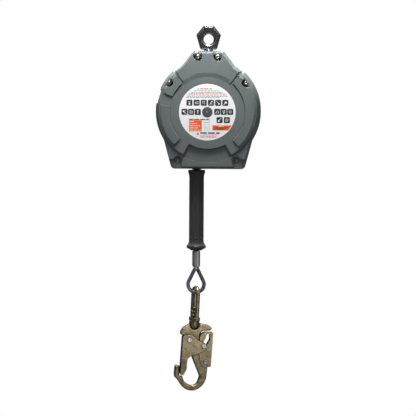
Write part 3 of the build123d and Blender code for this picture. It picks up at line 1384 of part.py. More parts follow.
PIVOT_COIL_R = 4.8
PIVOT_COIL_WIRE_R = 0.55
PIVOT_COIL_FOOT = 3.1  # in front of the hook's middle plane
with BuildPart() as gate_spring:
    foot = hook_plane(PIVOT_COIL_FOOT).from_local_coords((*GATE_PIVOT, 0))
    add(coil_spring(foot, hook_plane().z_dir, PIVOT_COIL_R, PIVOT_COIL_WIRE_R, 1.35, 2.7))
gate_spring.part.label = "gate_spring"
export_step(gate_spring.part, "parts/gate_spring.step")

with BuildPart() as lever_spring:
    foot = hook_plane(PIVOT_COIL_FOOT).from_local_coords((*LEVER_PIVOT, 0))
    add(coil_spring(foot, hook_plane().z_dir, PIVOT_COIL_R, PIVOT_COIL_WIRE_R, 1.35, 2.7))
lever_spring.part.label = "lever_spring"
export_step(lever_spring.part, "parts/lever_spring.step")
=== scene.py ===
import json
import math
import random

import bpy
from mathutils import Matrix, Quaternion, Vector


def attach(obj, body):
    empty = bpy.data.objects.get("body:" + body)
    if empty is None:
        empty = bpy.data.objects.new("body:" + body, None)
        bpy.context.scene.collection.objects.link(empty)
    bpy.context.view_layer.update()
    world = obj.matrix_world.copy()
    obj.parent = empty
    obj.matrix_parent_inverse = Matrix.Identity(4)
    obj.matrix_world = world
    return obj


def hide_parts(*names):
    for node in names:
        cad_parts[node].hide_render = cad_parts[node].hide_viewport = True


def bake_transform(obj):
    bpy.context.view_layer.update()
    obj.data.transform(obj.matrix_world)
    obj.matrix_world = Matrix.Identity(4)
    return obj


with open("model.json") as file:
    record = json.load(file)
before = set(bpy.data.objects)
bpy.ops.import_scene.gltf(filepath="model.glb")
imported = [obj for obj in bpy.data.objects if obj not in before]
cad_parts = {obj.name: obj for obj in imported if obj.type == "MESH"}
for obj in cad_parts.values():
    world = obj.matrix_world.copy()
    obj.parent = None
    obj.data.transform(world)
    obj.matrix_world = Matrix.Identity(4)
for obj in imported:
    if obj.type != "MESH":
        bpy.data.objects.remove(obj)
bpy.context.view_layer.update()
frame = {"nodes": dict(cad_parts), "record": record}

nodes = frame["nodes"]
MM = 0.001

# ---- places, in millimetres, the same values as the CAD model's --------------------------------------
DRUM_Z = -144.0
LABEL_R = 56.2
LABEL_FACE = 39.1  # the label's face, from the parting plane
LINE_X = -22.5
ROPE_R = 2.4
RUN_TOP = -256.3
FERRULE_TOP = -422.0
FERRULE_BOTTOM = -455.0
LOOP_Z = -489.9
LOOP_ROPE_R = 17.4
LOOP_HALF_ANGLE = math.radians(26.0)
SWIVEL_Z = -497.0
HOOK_TILT = math.radians(2.5)
HOOK_TURN = math.radians(12.0)
HOOK_FACE = 6.5  # the hook's front face, from the plane that halves it
GATE_FACE = 11.1
FLOOR_Z = -7000.0  # below the hook with the whole line pulled out


def at(x, y, z):
    """A point given in millimetres, in metres."""
    return Vector((x, y, z)) * MM


# ---- camera, floor and light --------------------------------------------------------------------------
VIEW_TARGET = at(0.6, 0, -336.6)
VIEW_AZIMUTH = math.radians(2.75)
VIEW_ELEVATION = math.radians(3.5)
VIEW_ROLL = math.radians(0.33)
VIEW_DISTANCE = 5.0
VIEW_WIDTH = 0.832
SENSOR = 36.0
WORLD_STRENGTH = 0.6
# grey levels from straight down, 0, over the horizon, 0.5, to straight up, 1
WORLD_LEVELS = [(0.0, 0.10), (0.46, 0.06), (0.58, 0.09), (0.78, 0.45), (1.0, 0.9)]
FLOOR_REACH = 40.0  # in metres
HOUSING_AIM = at(0, 0, -80)
HOOK_AIM = at(-10, 0, -600)
# name, place in metres, what it points at, width in metres, power in watts and cone in degrees
SOFTBOXES = [
    ("key", (-0.9, -2.8, 1.3), VIEW_TARGET, 1.2, 11.0, 180.0),
    ("fill", (1.6, -2.6, 0.4), VIEW_TARGET, 1.0, 4.0, 180.0),
    ("front_top", (0.0, -0.20, 0.32), HOUSING_AIM, 0.15, 5.0, 180.0),
    ("front_low", (0.24, -0.62, -0.55), HOOK_AIM, 0.30, 0.032, 45.0),
    ("left_strip", (-1.5, -0.6, 1.3), VIEW_TARGET, 0.3, 1.8, 180.0),
    ("right_strip", (1.5, -0.6, 1.3), VIEW_TARGET, 0.3, 1.8, 180.0),
    ("back_left", (-2.2, 1.9, 1.5), VIEW_TARGET, 1.0, 12.0, 180.0),
    ("back_right", (2.3, 1.8, 0.8), VIEW_TARGET, 0.9, 7.0, 180.0),
    ("back_top", (0.0, 0.20, 0.32), HOUSING_AIM, 0.15, 5.0, 180.0),
    ("back_low", (0.24, 0.62, -0.55), HOOK_AIM, 0.30, 0.032, 45.0),
]


def make_camera():
    lens = bpy.data.cameras.new("camera")
    lens.sensor_width = SENSOR
    lens.lens = SENSOR * VIEW_DISTANCE / VIEW_WIDTH
    camera = bpy.data.objects.new("camera", lens)
    bpy.context.scene.collection.objects.link(camera)
    flat = math.cos(VIEW_ELEVATION)
    back = Vector((math.sin(VIEW_AZIMUTH) * flat, -math.cos(VIEW_AZIMUTH) * flat, math.sin(VIEW_ELEVATION)))
    camera.location = VIEW_TARGET + back * VIEW_DISTANCE
    camera.rotation_mode = "QUATERNION"
    aim = (-back).to_track_quat("-Z", "Y")
    camera.rotation_quaternion = Quaternion(back, VIEW_ROLL) @ aim
    bpy.context.scene.camera = camera


def softbox(name, place, aim, size, power, cone):
    """A square area light that points from one place at another, within a cone given in degrees."""
    data = bpy.data.lights.new(name, "AREA")
    data.shape = "SQUARE"
    data.size = size
    data.energy = power
    data.spread = math.radians(cone)
    lamp = bpy.data.objects.new(name, data)
    bpy.context.scene.collection.objects.link(lamp)
    lamp.location = place
    lamp.rotation_mode = "QUATERNION"
    lamp.rotation_quaternion = (Vector(aim) - Vector(place)).to_track_quat("-Z", "Y")


def make_world():
    """White behind the object; for light and reflections, a studio that is darker below and at the sides."""
    world = bpy.data.worlds.new("studio")
    bpy.context.scene.world = world
    world.use_nodes = True
    tree = world.node_tree
    tree.nodes.clear()
    out = tree.nodes.new("ShaderNodeOutputWorld")
    mix = tree.nodes.new("ShaderNodeMixShader")
    seen = tree.nodes.new("ShaderNodeBackground")
    lit = tree.nodes.new("ShaderNodeBackground")
    path = tree.nodes.new("ShaderNodeLightPath")
    coord = tree.nodes.new("ShaderNodeTexCoord")
    split = tree.nodes.new("ShaderNodeSeparateXYZ")
    levels = tree.nodes.new("ShaderNodeValToRGB")
    seen.inputs["Color"].default_value = (1, 1, 1, 1)
    lit.inputs["Strength"].default_value = WORLD_STRENGTH
    elements = levels.color_ramp.elements
    while len(elements) < len(WORLD_LEVELS):
        elements.new(0.5)
    for element, (place, level) in zip(elements, WORLD_LEVELS):
        element.position = place
        element.color = (level, level, level, 1)
    half = tree.nodes.new("ShaderNodeMath")
    half.operation = "MULTIPLY_ADD"
    half.inputs[1].default_value = 0.5
    half.inputs[2].default_value = 0.5
    tree.links.new(coord.outputs["Generated"], split.inputs[0])
    tree.links.new(split.outputs["Z"], half.inputs[0])
    tree.links.new(half.outputs[0], levels.inputs[0])
    tree.links.new(levels.outputs["Color"], lit.inputs["Color"])
    tree.links.new(path.outputs["Is Camera Ray"], mix.inputs[0])
    tree.links.new(lit.outputs[0], mix.inputs[1])
    tree.links.new(seen.outputs[0], mix.inputs[2])
    tree.links.new(mix.outputs[0], out.inputs["Surface"])


def make_floor():
    """Pale paper far below the block, which hangs."""
    corners = [(-1, -1), (1, -1), (1, 1), (-1, 1)]
    mesh = bpy.data.meshes.new("floor")
    verts = [(x * FLOOR_REACH, y * FLOOR_REACH, FLOOR_Z * MM) for x, y in corners]
    mesh.from_pydata(verts, [], [(0, 1, 2, 3)])
    floor = bpy.data.objects.new("floor", mesh)
    bpy.context.scene.collection.objects.link(floor)
    material, tree, shader = new_material("floor_paper")
    shader.inputs["Base Color"].default_value = (0.45, 0.45, 0.45, 1)
    shader.inputs["Roughness"].default_value = 0.9
    shader.inputs["Specular IOR Level"].default_value = 0.1
    shader.inputs["Emission Color"].default_value = (1, 1, 1, 1)
    path = tree.nodes.new("ShaderNodeLightPath")
    glow = math_node(tree, "MULTIPLY", path.outputs["Is Camera Ray"], 0.8)
    tree.links.new(glow, shader.inputs["Emission Strength"])
    mesh.materials.append(material)


# ---- material building blocks ---------------------------------------------------------------------
def new_material(name):
    material = bpy.data.materials.new(name)
    material.use_nodes = True
    return material, material.node_tree, material.node_tree.nodes["Principled BSDF"]


def place_of(tree, stretch=(1, 1, 1)):
    """The point on the piece, with its axes stretched, for a texture that moves with the piece."""
    coord = tree.nodes.new("ShaderNodeTexCoord")
    mapping = tree.nodes.new("ShaderNodeMapping")
    mapping.inputs["Scale"].default_value = stretch
    tree.links.new(coord.outputs["Object"], mapping.inputs["Vector"])
    return mapping.outputs["Vector"]


def noise(tree, scale, detail=4.0, stretch=(1, 1, 1), distortion=0.0):
    node = tree.nodes.new("ShaderNodeTexNoise")
    node.inputs["Scale"].default_value = scale
    node.inputs["Detail"].default_value = detail
    node.inputs["Distortion"].default_value = distortion
    tree.links.new(place_of(tree, stretch), node.inputs["Vector"])
    return node.outputs["Fac"]


def ramp(tree, factor, stops):
    """Colours along a factor; each stop is a place and a linear colour."""
    node = tree.nodes.new("ShaderNodeValToRGB")
    elements = node.color_ramp.elements
    while len(elements) < len(stops):
        elements.new(0.5)
    for element, (place, colour) in zip(elements, stops):
        element.position = place
        element.color = (*colour, 1)
    tree.links.new(factor, node.inputs["Fac"])
    return node.outputs["Color"]


def spread(tree, factor, low, high, start=0.3, end=0.7):
    """A factor between start and end, mapped to a value between low and high."""
    node = tree.nodes.new("ShaderNodeMapRange")
    node.inputs["From Min"].default_value = start
    node.inputs["From Max"].default_value = end
    node.inputs["To Min"].default_value = low
    node.inputs["To Max"].default_value = high
    tree.links.new(factor, node.inputs["Value"])
    return node.outputs["Result"]


def mixed(tree, factor, first, second):
    """Two colours, each a socket or a linear colour, mixed by a factor."""
    node = tree.nodes.new("ShaderNodeMix")
    node.data_type = "RGBA"
    colours = [s for s in node.inputs if s.type == "RGBA"]
    tree.links.new(factor, node.inputs[0])
    for socket, colour in zip(colours, (first, second)):
        if isinstance(colour, tuple):
            socket.default_value = (*colour, 1)
        else:
            tree.links.new(colour, socket)
    return [s for s in node.outputs if s.type == "RGBA"][0]


def math_node(tree, operation, first, second):
    node = tree.nodes.new("ShaderNodeMath")
    node.operation = operation
    node.use_clamp = True
    for socket, value in zip(node.inputs, (first, second)):
        if isinstance(value, (int, float)):
            socket.default_value = value
        else:
            tree.links.new(value, socket)
    return node.outputs[0]


def edge_mask(tree, reach, broken_scale):
    """One along outer edges and nothing on flats, broken up by a noise."""
    bevel = tree.nodes.new("ShaderNodeBevel")
    bevel.samples = 6
    bevel.inputs["Radius"].default_value = reach * MM
    geometry = tree.nodes.new("ShaderNodeNewGeometry")
    dot = tree.nodes.new("ShaderNodeVectorMath")
    dot.operation = "DOT_PRODUCT"
    tree.links.new(bevel.outputs[0], dot.inputs[0])
    tree.links.new(geometry.outputs["Normal"], dot.inputs[1])
    mask = spread(tree, dot.outputs["Value"], 1.0, 0.0, 0.86, 0.995)
    return math_node(tree, "MULTIPLY", mask, spread(tree, noise(tree, broken_scale), 0.45, 1.0))


def painted_shade_mask(tree, reach, low=0.35):
    """A mask for painted shade: one in tight corners, where less light than low comes in, and nothing on open
    faces.
    """
    node = tree.nodes.new("ShaderNodeAmbientOcclusion")
    node.samples = 6
    node.inputs["Distance"].default_value = reach * MM
    return spread(tree, node.outputs["AO"], 1.0, 0.0, low, 0.92)


def bump(tree, shader, height, distance, strength=1.0, rounding=0.0):
    """Fine relief in the surface, with edges shaded as if rounded by the given radius."""
    node = tree.nodes.new("ShaderNodeBump")
    if rounding:
        bevel = tree.nodes.new("ShaderNodeBevel")
        bevel.samples = 6
        bevel.inputs["Radius"].default_value = rounding * MM
        tree.links.new(bevel.outputs[0], node.inputs["Normal"])
    node.inputs["Distance"].default_value = distance * MM
    node.inputs["Strength"].default_value = strength
    tree.links.new(height, node.inputs["Height"])
    tree.links.new(node.outputs["Normal"], shader.inputs["Normal"])


def surface(name, dark, light, metallic, rough, blotch, grain=900.0, grain_depth=0.03,
            edge=None, edge_reach=0.6, stretch=(1, 1, 1)):
    """A worked surface: blotched colour, uneven roughness, a fine grain and worn or polished edges."""
    material, tree, shader = new_material(name)
    colour = ramp(tree, noise(tree, blotch, 5.0, distortion=0.3), [(0.3, dark), (0.7, light)])
    if edge:
        colour = mixed(tree, edge_mask(tree, edge_reach, 250.0), colour, edge)
    tree.links.new(colour, shader.inputs["Base Color"])
    shader.inputs["Metallic"].default_value = metallic
    tree.links.new(spread(tree, noise(tree, blotch * 4, stretch=stretch), *rough), shader.inputs["Roughness"])
    bump(tree, shader, noise(tree, grain, 3.0, stretch), grain_depth, rounding=0.5 if metallic else 0.0)
    return material


def housing_plastic():
    """Grey-green moulded nylon with a spark-eroded texture, faint flow marks, rubbed edges and painted shade
    in its recesses.
    """
    material, tree, shader = new_material("housing_plastic")
    flow = noise(tree, 14.0, 4.0, (1, 1, 0.6), 0.6)
    tone = ramp(tree, flow, [(0.3, (0.118, 0.137, 0.139)), (0.7, (0.142, 0.163, 0.164))])
    speck = spread(tree, noise(tree, 1500.0, 2.0), 0.0, 0.35, 0.55, 0.8)
    tone = mixed(tree, speck, tone, (0.19, 0.215, 0.217))
    tone = mixed(tree, edge_mask(tree, 0.9, 120.0), tone, (0.22, 0.248, 0.248))
    # painted shade: the colour is darkened in recesses and tight corners, where less light comes in
    tone = mixed(tree, painted_shade_mask(tree, 3.5), tone, (0.040, 0.047, 0.048))
    tree.links.new(tone, shader.inputs["Base Color"])
    tree.links.new(spread(tree, noise(tree, 60.0), 0.42, 0.56), shader.inputs["Roughness"])
    shader.inputs["Specular IOR Level"].default_value = 0.45
    waves = math_node(tree, "MULTIPLY", noise(tree, 90.0), 0.6)
    grain = math_node(tree, "ADD", noise(tree, 1100.0, 3.0), waves)
    bump(tree, shader, grain, 0.05, 0.6, rounding=0.7)
    return material


def hook_zinc():
    """Yellow zinc plate: olive gold that drifts to pink and green, over a lightly tumbled forging; its edges
    are lightened by wear and a painted highlight, and its crevices darkened by painted shade.
    """
    material, tree, shader = new_material("hook_zinc")
    drift = noise(tree, 42.0, 3.0, distortion=1.2)
    plate = ramp(tree, drift, [
        (0.28, (0.26, 0.245, 0.140)),
        (0.44, (0.42, 0.355, 0.200)),
        (0.56, (0.55, 0.435, 0.290)),
        (0.70, (0.34, 0.325, 0.205)),
        (0.80, (0.48, 0.355, 0.285)),
    ])
    # lighter edges: partly wear, partly a painted highlight along the edges
    wear_and_painted_highlight = edge_mask(tree, 1.9, 300.0)
    plate = mixed(tree, wear_and_painted_highlight, plate, (0.95, 0.80, 0.62))
    soot = spread(tree, noise(tree, 160.0, 6.0), 0.0, 0.55, 0.52, 0.75)
    plate = mixed(tree, soot, plate, (0.12, 0.10, 0.06))
    # painted shadow: the colour goes nearly black in crevices and where parts overlap, where less light comes
    # in
    plate = mixed(tree, painted_shade_mask(tree, 8.0, 0.5), plate, (0.024, 0.018, 0.008))
    tree.links.new(plate, shader.inputs["Base Color"])
    shader.inputs["Metallic"].default_value = 1.0
    tree.links.new(spread(tree, noise(tree, 110.0, 5.0), 0.22, 0.42), shader.inputs["Roughness"])
    fine = math_node(tree, "MULTIPLY", noise(tree, 1400.0), 0.3)
    tumbled = math_node(tree, "ADD", noise(tree, 260.0, 2.0), fine)
    bump(tree, shader, tumbled, 0.09, 0.7, rounding=0.8)
    return material


def label_film():
    """White printed film with a slight orange peel under its gloss."""
    material, tree, shader = new_material("label_print")
    white = ramp(tree, noise(tree, 25.0), [(0.3, (0.86, 0.865, 0.87)), (0.7, (0.92, 0.92, 0.92))])
    tree.links.new(white, shader.inputs["Base Color"])
    tree.links.new(spread(tree, noise(tree, 80.0), 0.26, 0.36), shader.inputs["Roughness"])
    bump(tree, shader, noise(tree, 420.0, 2.0), 0.01)
    return material


def ink(name, dark, light):
    """A printed colour with the slight mottle of a screen print."""
    material, tree, shader = new_material(name)
    mottle = ramp(tree, noise(tree, 700.0, 3.0), [(0.3, dark), (0.7, light)])
    tree.links.new(mottle, shader.inputs["Base Color"])
    tree.links.new(spread(tree, noise(tree, 200.0), 0.32, 0.42), shader.inputs["Roughness"])
    bump(tree, shader, noise(tree, 900.0, 2.0), 0.004)
    return material


def grip_rubber():
    """Black moulded rubber, slightly greyed where hands rub it, with a fine sheen."""
    material, tree, shader = new_material("grip_rubber")
    rubbing = noise(tree, 40.0, 5.0, (1, 1, 0.25))
    tone = ramp(tree, rubbing, [(0.3, (0.040, 0.040, 0.041)), (0.7, (0.060, 0.060, 0.061))])
    tone = mixed(tree, edge_mask(tree, 0.7, 200.0), tone, (0.08, 0.08, 0.082))
    shader.inputs["Specular IOR Level"].default_value = 0.35
    tree.links.new(tone, shader.inputs["Base Color"])
    tree.links.new(spread(tree, noise(tree, 120.0), 0.38, 0.56), shader.inputs["Roughness"])
    bump(tree, shader, noise(tree, 800.0, 4.0), 0.06, 0.7)
    return material


def wire_steel():
    """Galvanised wire: blue-grey zinc over the fine lay of single wires, with painted shade between the
    strands.
    """
    material, tree, shader = new_material("rope_steel")
    zinc = ramp(tree, noise(tree, 180.0, 5.0), [
        (0.3, (0.12, 0.135, 0.17)),
        (0.55, (0.30, 0.33, 0.37)),
        (0.8, (0.60, 0.63, 0.66)),
    ])
    # painted shade: the colour is darkened in the crevices between strands
    zinc = mixed(tree, painted_shade_mask(tree, 1.6), zinc, (0.035, 0.038, 0.045))
    zinc = mixed(tree, edge_mask(tree, 0.5, 400.0), zinc, (0.78, 0.80, 0.82))
    tree.links.new(zinc, shader.inputs["Base Color"])
    shader.inputs["Metallic"].default_value = 1.0
    tree.links.new(spread(tree, noise(tree, 300.0), 0.26, 0.46), shader.inputs["Roughness"])
    bump(tree, shader, noise(tree, 1100.0, 3.0), 0.05, 0.8)
    return material


# for surface(): dark and light tone, metallic, roughness, then what differs from its defaults
SURFACES = {
    "eye_steel": ((0.17, 0.17, 0.175), (0.25, 0.25, 0.255), 1.0, (0.22, 0.32), dict(
        blotch=40.0, grain=300.0, grain_depth=0.006, edge=(0.36, 0.36, 0.36), edge_reach=0.4)),
    "bright_steel": ((0.58, 0.58, 0.59), (0.74, 0.74, 0.74), 1.0, (0.10, 0.22), dict(
        blotch=80.0, grain=1200.0, grain_depth=0.01, edge=(0.85, 0.85, 0.85), edge_reach=0.3)),
    "hub_plastic": ((0.055, 0.062, 0.070), (0.085, 0.093, 0.100), 0.0, (0.35, 0.5), dict(
        blotch=60.0, grain=1200.0, edge=(0.16, 0.17, 0.18), edge_reach=0.4)),
    "screw_steel": ((0.42, 0.36, 0.28), (0.62, 0.54, 0.44), 1.0, (0.2, 0.36), dict(
        blotch=150.0, grain=1500.0, grain_depth=0.02, edge=(0.8, 0.74, 0.66), edge_reach=0.3)),
    "insert_brass": ((0.50, 0.36, 0.15), (0.66, 0.50, 0.24), 1.0, (0.2, 0.32), dict(blotch=120.0)),
    "frame_steel": ((0.40, 0.41, 0.42), (0.58, 0.59, 0.60), 1.0, (0.3, 0.48), dict(
        blotch=70.0, edge=(0.74, 0.74, 0.74), edge_reach=0.4)),
    "cast_alloy": ((0.46, 0.47, 0.48), (0.62, 0.63, 0.64), 1.0, (0.42, 0.58), dict(
        blotch=60.0, grain=600.0, grain_depth=0.06, edge=(0.74, 0.75, 0.76), edge_reach=0.5)),
    "bearing_bronze": ((0.42, 0.27, 0.13), (0.56, 0.38, 0.20), 1.0, (0.34, 0.5), dict(blotch=120.0)),
    "friction_lining": ((0.030, 0.024, 0.018), (0.065, 0.052, 0.040), 0.0, (0.75, 0.9), dict(
        blotch=200.0, grain=700.0, grain_depth=0.12)),
    "spring_steel": ((0.13, 0.15, 0.19), (0.24, 0.26, 0.30), 1.0, (0.24, 0.36), dict(blotch=90.0)),
    "black_plastic": ((0.012, 0.012, 0.013), (0.024, 0.024, 0.026), 0.0, (0.4, 0.55), dict(
        blotch=70.0, grain=1000.0, edge=(0.06, 0.06, 0.062), edge_reach=0.4)),
    "ferrule_alloy": ((0.55, 0.55, 0.55), (0.76, 0.76, 0.76), 1.0, (0.26, 0.42), dict(
        blotch=90.0, grain=500.0, grain_depth=0.08, edge=(0.76, 0.77, 0.78), stretch=(1, 1, 0.15))),
    "rivet_steel": ((0.62, 0.63, 0.65), (0.80, 0.80, 0.81), 1.0, (0.12, 0.26), dict(
        blotch=150.0, grain=1300.0, grain_depth=0.02, edge=(0.9, 0.9, 0.9), edge_reach=0.3)),
}
INKS = {
    "ink_black": ((0.020, 0.021, 0.023), (0.034, 0.035, 0.038)),
    "ink_grey": ((0.13, 0.14, 0.15), (0.19, 0.20, 0.21)),
    "ink_pale": ((0.40, 0.42, 0.44), (0.48, 0.50, 0.52)),
    "ink_orange": ((0.80, 0.130, 0.020), (0.88, 0.165, 0.030)),
    "ink_red": ((0.72, 0.10, 0.07), (0.80, 0.14, 0.10)),
    "ink_white": ((0.86, 0.86, 0.86), (0.92, 0.92, 0.92)),
}


def make_materials():
    materials = {
        "housing_plastic": housing_plastic(),
        "label_print": label_film(),
        "rope_steel": wire_steel(),
        "grip_rubber": grip_rubber(),
        "hook_zinc": hook_zinc(),
    }
    for name, (dark, light, metallic, rough, others) in SURFACES.items():
        materials[name] = surface(name, dark, light, metallic, rough, **others)
    for name, (dark, light) in INKS.items():
        materials[name] = ink(name, dark, light)
    return materials


# ---- flat shapes, each a list of (u, v) points in millimetres ------------------------------------
def disc(u, v, radius, count=24):
    return [(u + radius * math.cos(2 * math.pi * n / count), v + radius * math.sin(2 * math.pi * n / count))
            for n in range(count)]


def bar(u, v, width, height, angle=0.0, round_to=0.0):
    """A rectangle about its middle, turned, with round corners if asked."""
    turn = math.radians(angle)
    half_w, half_h = width / 2, height / 2
    if round_to:
        points = []
        signs = [(1, 1), (-1, 1), (-1, -1), (1, -1)]
        for quarter, (across, up) in enumerate(signs):
            a, b, start = across * half_w, up * half_h, 90 * quarter
            centre = (a - math.copysign(round_to, a), b - math.copysign(round_to, b))
            for step in range(5):
                lean = math.radians(start + 22.5 * step)
                points.append((centre[0] + round_to * math.cos(lean), centre[1] + round_to * math.sin(lean)))
    else:
        points = [(-half_w, -half_h), (half_w, -half_h), (half_w, half_h), (-half_w, half_h)]
    return [(u + a * math.cos(turn) - b * math.sin(turn), v + a * math.sin(turn) + b * math.cos(turn))
            for a, b in points]


def words(left, right, v, height, seed):
    """A row of short blocks in place of a line of print."""
    draw = random.Random(seed)
    shapes = []
    here = left
    while here < right - height:
        width = min(draw.uniform(1.6, 6.0) * height, right - here)
        shapes.append(bar(here + width / 2, v, width, height))
        here += width + 0.9 * height
    return shapes


def plates(name, shapes, to_world, level, thickness, material, body):
    """Thin raised plates with the given outlines, as one piece."""
    verts = []
    faces = []
    for shape in shapes:
        first = len(verts)
        count = len(shape)
        for depth in (level, level + thickness):
            verts += [to_world(u, v, depth) for u, v in shape]
        faces.append(tuple(range(first + count, first + 2 * count)))
        faces.append(tuple(reversed(range(first, first + count))))
        for n in range(count):
            following = (n + 1) % count
            faces.append((first + n, first + following, first + count + following, first + count + n))
    mesh = bpy.data.meshes.new(name)
    mesh.from_pydata(verts, [], faces)
    mesh.validate()
    mesh.materials.append(material)
    piece = bpy.data.objects.new(name, mesh)
    bpy.context.scene.collection.objects.link(piece)
    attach(piece, body)
    return piece


# ---- label print ----------------------------------------------------------------------------------
INK_STEP = 0.07  # thickness of each printed layer
TILE = 12.0
TOP_ROW = [(14.2 * (n - 2.5), 18.4) for n in range(6)]
LEFT_ROW = [(-45.2 + 13.2 * n, 0.2) for n in range(3)]
RIGHT_ROW = [(19.6 + 12.9 * n, 0.6) for n in range(3)]
LOW_ROW = [(24.4, -15.6), (38.8, -15.6)]
# each sign is a few discs (u, v, radius) and bars (u, v, width, height, angle) in a square of side two
SIGNS = [
    ([(0, -0.45, 0.34)], [(0, 0.35, 1.1, 0.16, 0), (0, 0.1, 0.14, 0.6, 0)]),
    ([], [(0, 0.25, 1.3, 0.18, 12), (0.1, -0.3, 1.2, 0.18, -14)]),
    ([(-0.35, 0.55, 0.16), (0.35, 0.55, 0.16)], [(-0.35, -0.1, 0.16, 1.0, 0), (0.35, -0.1, 0.16, 1.0, 0)]),
    ([(0.35, 0.45, 0.26)], [(-0.2, -0.25, 0.24, 1.1, -32), (0.3, -0.4, 0.2, 0.7, 24)]),
    ([(0.3, -0.35, 0.34)], [(-0.25, 0.3, 1.0, 0.2, -40)]),
    ([(0.15, 0.1, 0.42)], [(-0.35, -0.45, 0.9, 0.2, 42)]),
    ([(-0.4, 0.2, 0.32)], [(0.25, 0.4, 0.7, 0.18, 0), (0.25, -0.4, 1.0, 0.22, -30)]),
    ([(0.45, 0.25, 0.16)], [(0, -0.1, 1.3, 0.14, 0), (-0.25, 0.4, 0.7, 0.3, 0), (0, -0.5, 1.2, 0.14, 0)]),
    ([], [(0, 0, 0.3, 1.3, 0), (0, 0.45, 0.9, 0.16, 0)]),
    ([(-0.45, -0.45, 0.2)], [(-0.1, 0.2, 0.2, 1.1, -35), (0.45, -0.2, 0.24, 0.9, -12)]),
    ([(0, -0.4, 0.3)], [(0, 0.35, 1.2, 0.2, 18), (0.4, 0.0, 0.16, 0.7, 0)]),
    ([(0.3, 0.3, 0.22)], [(-0.25, 0, 0.2, 1.2, 20), (0.35, -0.35, 0.5, 0.18, 0)]),
    ([(-0.3, -0.35, 0.38)], [(0.25, 0.35, 0.9, 0.18, 35)]),
    ([], [(0, 0.4, 1.2, 0.18, 0), (0, 0, 1.2, 0.18, 0), (-0.1, -0.4, 1.0, 0.18, 0)]),
]
SIGN_REACH = TILE / 2 * 0.86
BLOCK = (-36.0, -10.8, -38.2, -16.2)  # left, right, bottom and top of the filled block
BLOCK_WIDTHS = [9.0, 14.5, 20.0, 18.0, 21.0]  # of the lines in it
BLOCK_PITCH = 4.3
STRIP = (10.6, 49.0, -36.2, -26.0)
STRIP_MARGIN = 1.4  # between the strip and the label's edge
# lines of print in each colour: left, right, height above the middle, letter height and seed
LINES = {
    "black": [(-36.0, 3.4, -14.7, 2.0, 5), (-14.0, 24.5, -41.4, 2.6, 6)],
    "white": [(23.0, 33.5, -27.8, 1.2, 30)],
    "grey": [(-26.5, 25.0, 41.9, 1.2, 41), (-32.5, 30.5, 38.9, 1.2, 42), (-36.5, -6.0, 36.4, 1.2, 43),
             (24.5, 38.0, 33.9, 1.2, 44), (-40.5, 40.0, 31.2, 1.2, 45), (-42.5, 24.0, 28.6, 1.2, 46),
             (-14.0, 18.5, -47.4, 1.3, 47)],
    "red": [(-14.2, 9.0, 45.8, 2.2, 51), (-4.0, 36.0, 36.4, 1.3, 52), (-38.5, 22.0, 33.9, 1.3, 53),
            (-12.0, 18.0, -49.8, 1.1, 54), (-9.0, 24.0, -44.4, 0.8, 55)],
    "pale": [(-5.0, 3.6, -20.4, 0.8, 61), (-5.0, 3.0, -31.0, 0.8, 62)],
    "notes": [(13.0, 42.0, -30.2, 1.1, 71), (13.0, 40.0, -32.2, 1.1, 72), (20.0, 34.0, -34.2, 1.1, 73)],
}


def printed(colour):
    """The lines of print in one colour."""
    return [shape for line in LINES[colour] for shape in words(*line)]


def sign_shapes(centre, sign):
    """A sign's discs and bars, about the middle of its tile."""
    u, v = centre
    reach = SIGN_REACH
    discs, bars = sign
    shapes = [disc(u + a * reach, v + b * reach, r * reach) for a, b, r in discs]
    shapes += [bar(u + a * reach, v + b * reach, w * reach, h * reach, angle) for a, b, w, h, angle in bars]
    return shapes


def strip_shape():
    """The filled strip, cut off by the label's round edge."""
    left, right, bottom, top = STRIP
    limit = LABEL_R - STRIP_MARGIN
    edge = [bottom + (top - bottom) * n / 6 for n in range(7)]
    return [(left, bottom)] + [(min(right, math.sqrt(limit ** 2 - v ** 2)), v) for v in edge] + [(left, top)]


def frame_bars(left, right, bottom, top, rows, width):
    """An outlined table: its frame and its rows."""
    middle = (left + right) / 2
    shapes = [bar(u, (bottom + top) / 2, width, top - bottom) for u in (left, right)]
    for row in range(rows + 1):
        shapes.append(bar(middle, bottom + (top - bottom) * row / rows, right - left, width))
    return shapes


def make_label(side, materials):
    """The print on one cover: signs, filled fields and blocks in place of words."""
    end = "front" if side > 0 else "rear"

    def to_world(u, v, depth):
        return at(side * u, -side * depth, DRUM_Z + v)

    tiles = TOP_ROW + LEFT_ROW + RIGHT_ROW + LOW_ROW
    black = [bar(u, v, TILE, TILE, 0, 2.2) for u, v in tiles]
    white = []
    for centre, sign in zip(tiles, SIGNS):
        white += sign_shapes(centre, sign)
    left, right, bottom, top = BLOCK
    for row, width in enumerate(BLOCK_WIDTHS):
        white += words(left + 1.6, left + 1.6 + width, top - 2.4 - BLOCK_PITCH * row, 1.3, 20 + row)
    red_marks = [disc(-18.4, 45.6, 2.1, 3), disc(-18.6, -43.4, 2.4, 6)]
    table = frame_bars(-6.2, 4.8, -36.4, -17.6, 5, 0.45)
    block = bar((left + right) / 2, (bottom + top) / 2, right - left, top - bottom, 0, 0.4)
    layers = [
        ("orange", [block, strip_shape()], "ink_orange", 0),
        ("black", black + printed("black"), "ink_black", 0),
        ("grey", printed("grey"), "ink_grey", 0),
        ("red", printed("red") + red_marks, "ink_red", 0),
        ("pale", table + printed("pale"), "ink_pale", 0),
        ("white", white + printed("white"), "ink_white", 1),
        ("notes", printed("notes"), "ink_black", 1),
    ]
    for name, shapes, colour, layer in layers:
        level = LABEL_FACE + INK_STEP * layer
        plates(f"label_{end}_{name}", shapes, to_world, level, INK_STEP, materials[colour],
               "housing")


# ---- wire rope --------------------------------------------------------------------------------------
STRANDS = 6
LAY = 26.0  # length of one turn of the strands
TUBE_SIDES = 8
RUN_STEPS = 160
LEG_STEPS = 20
ARC_STEPS = 60


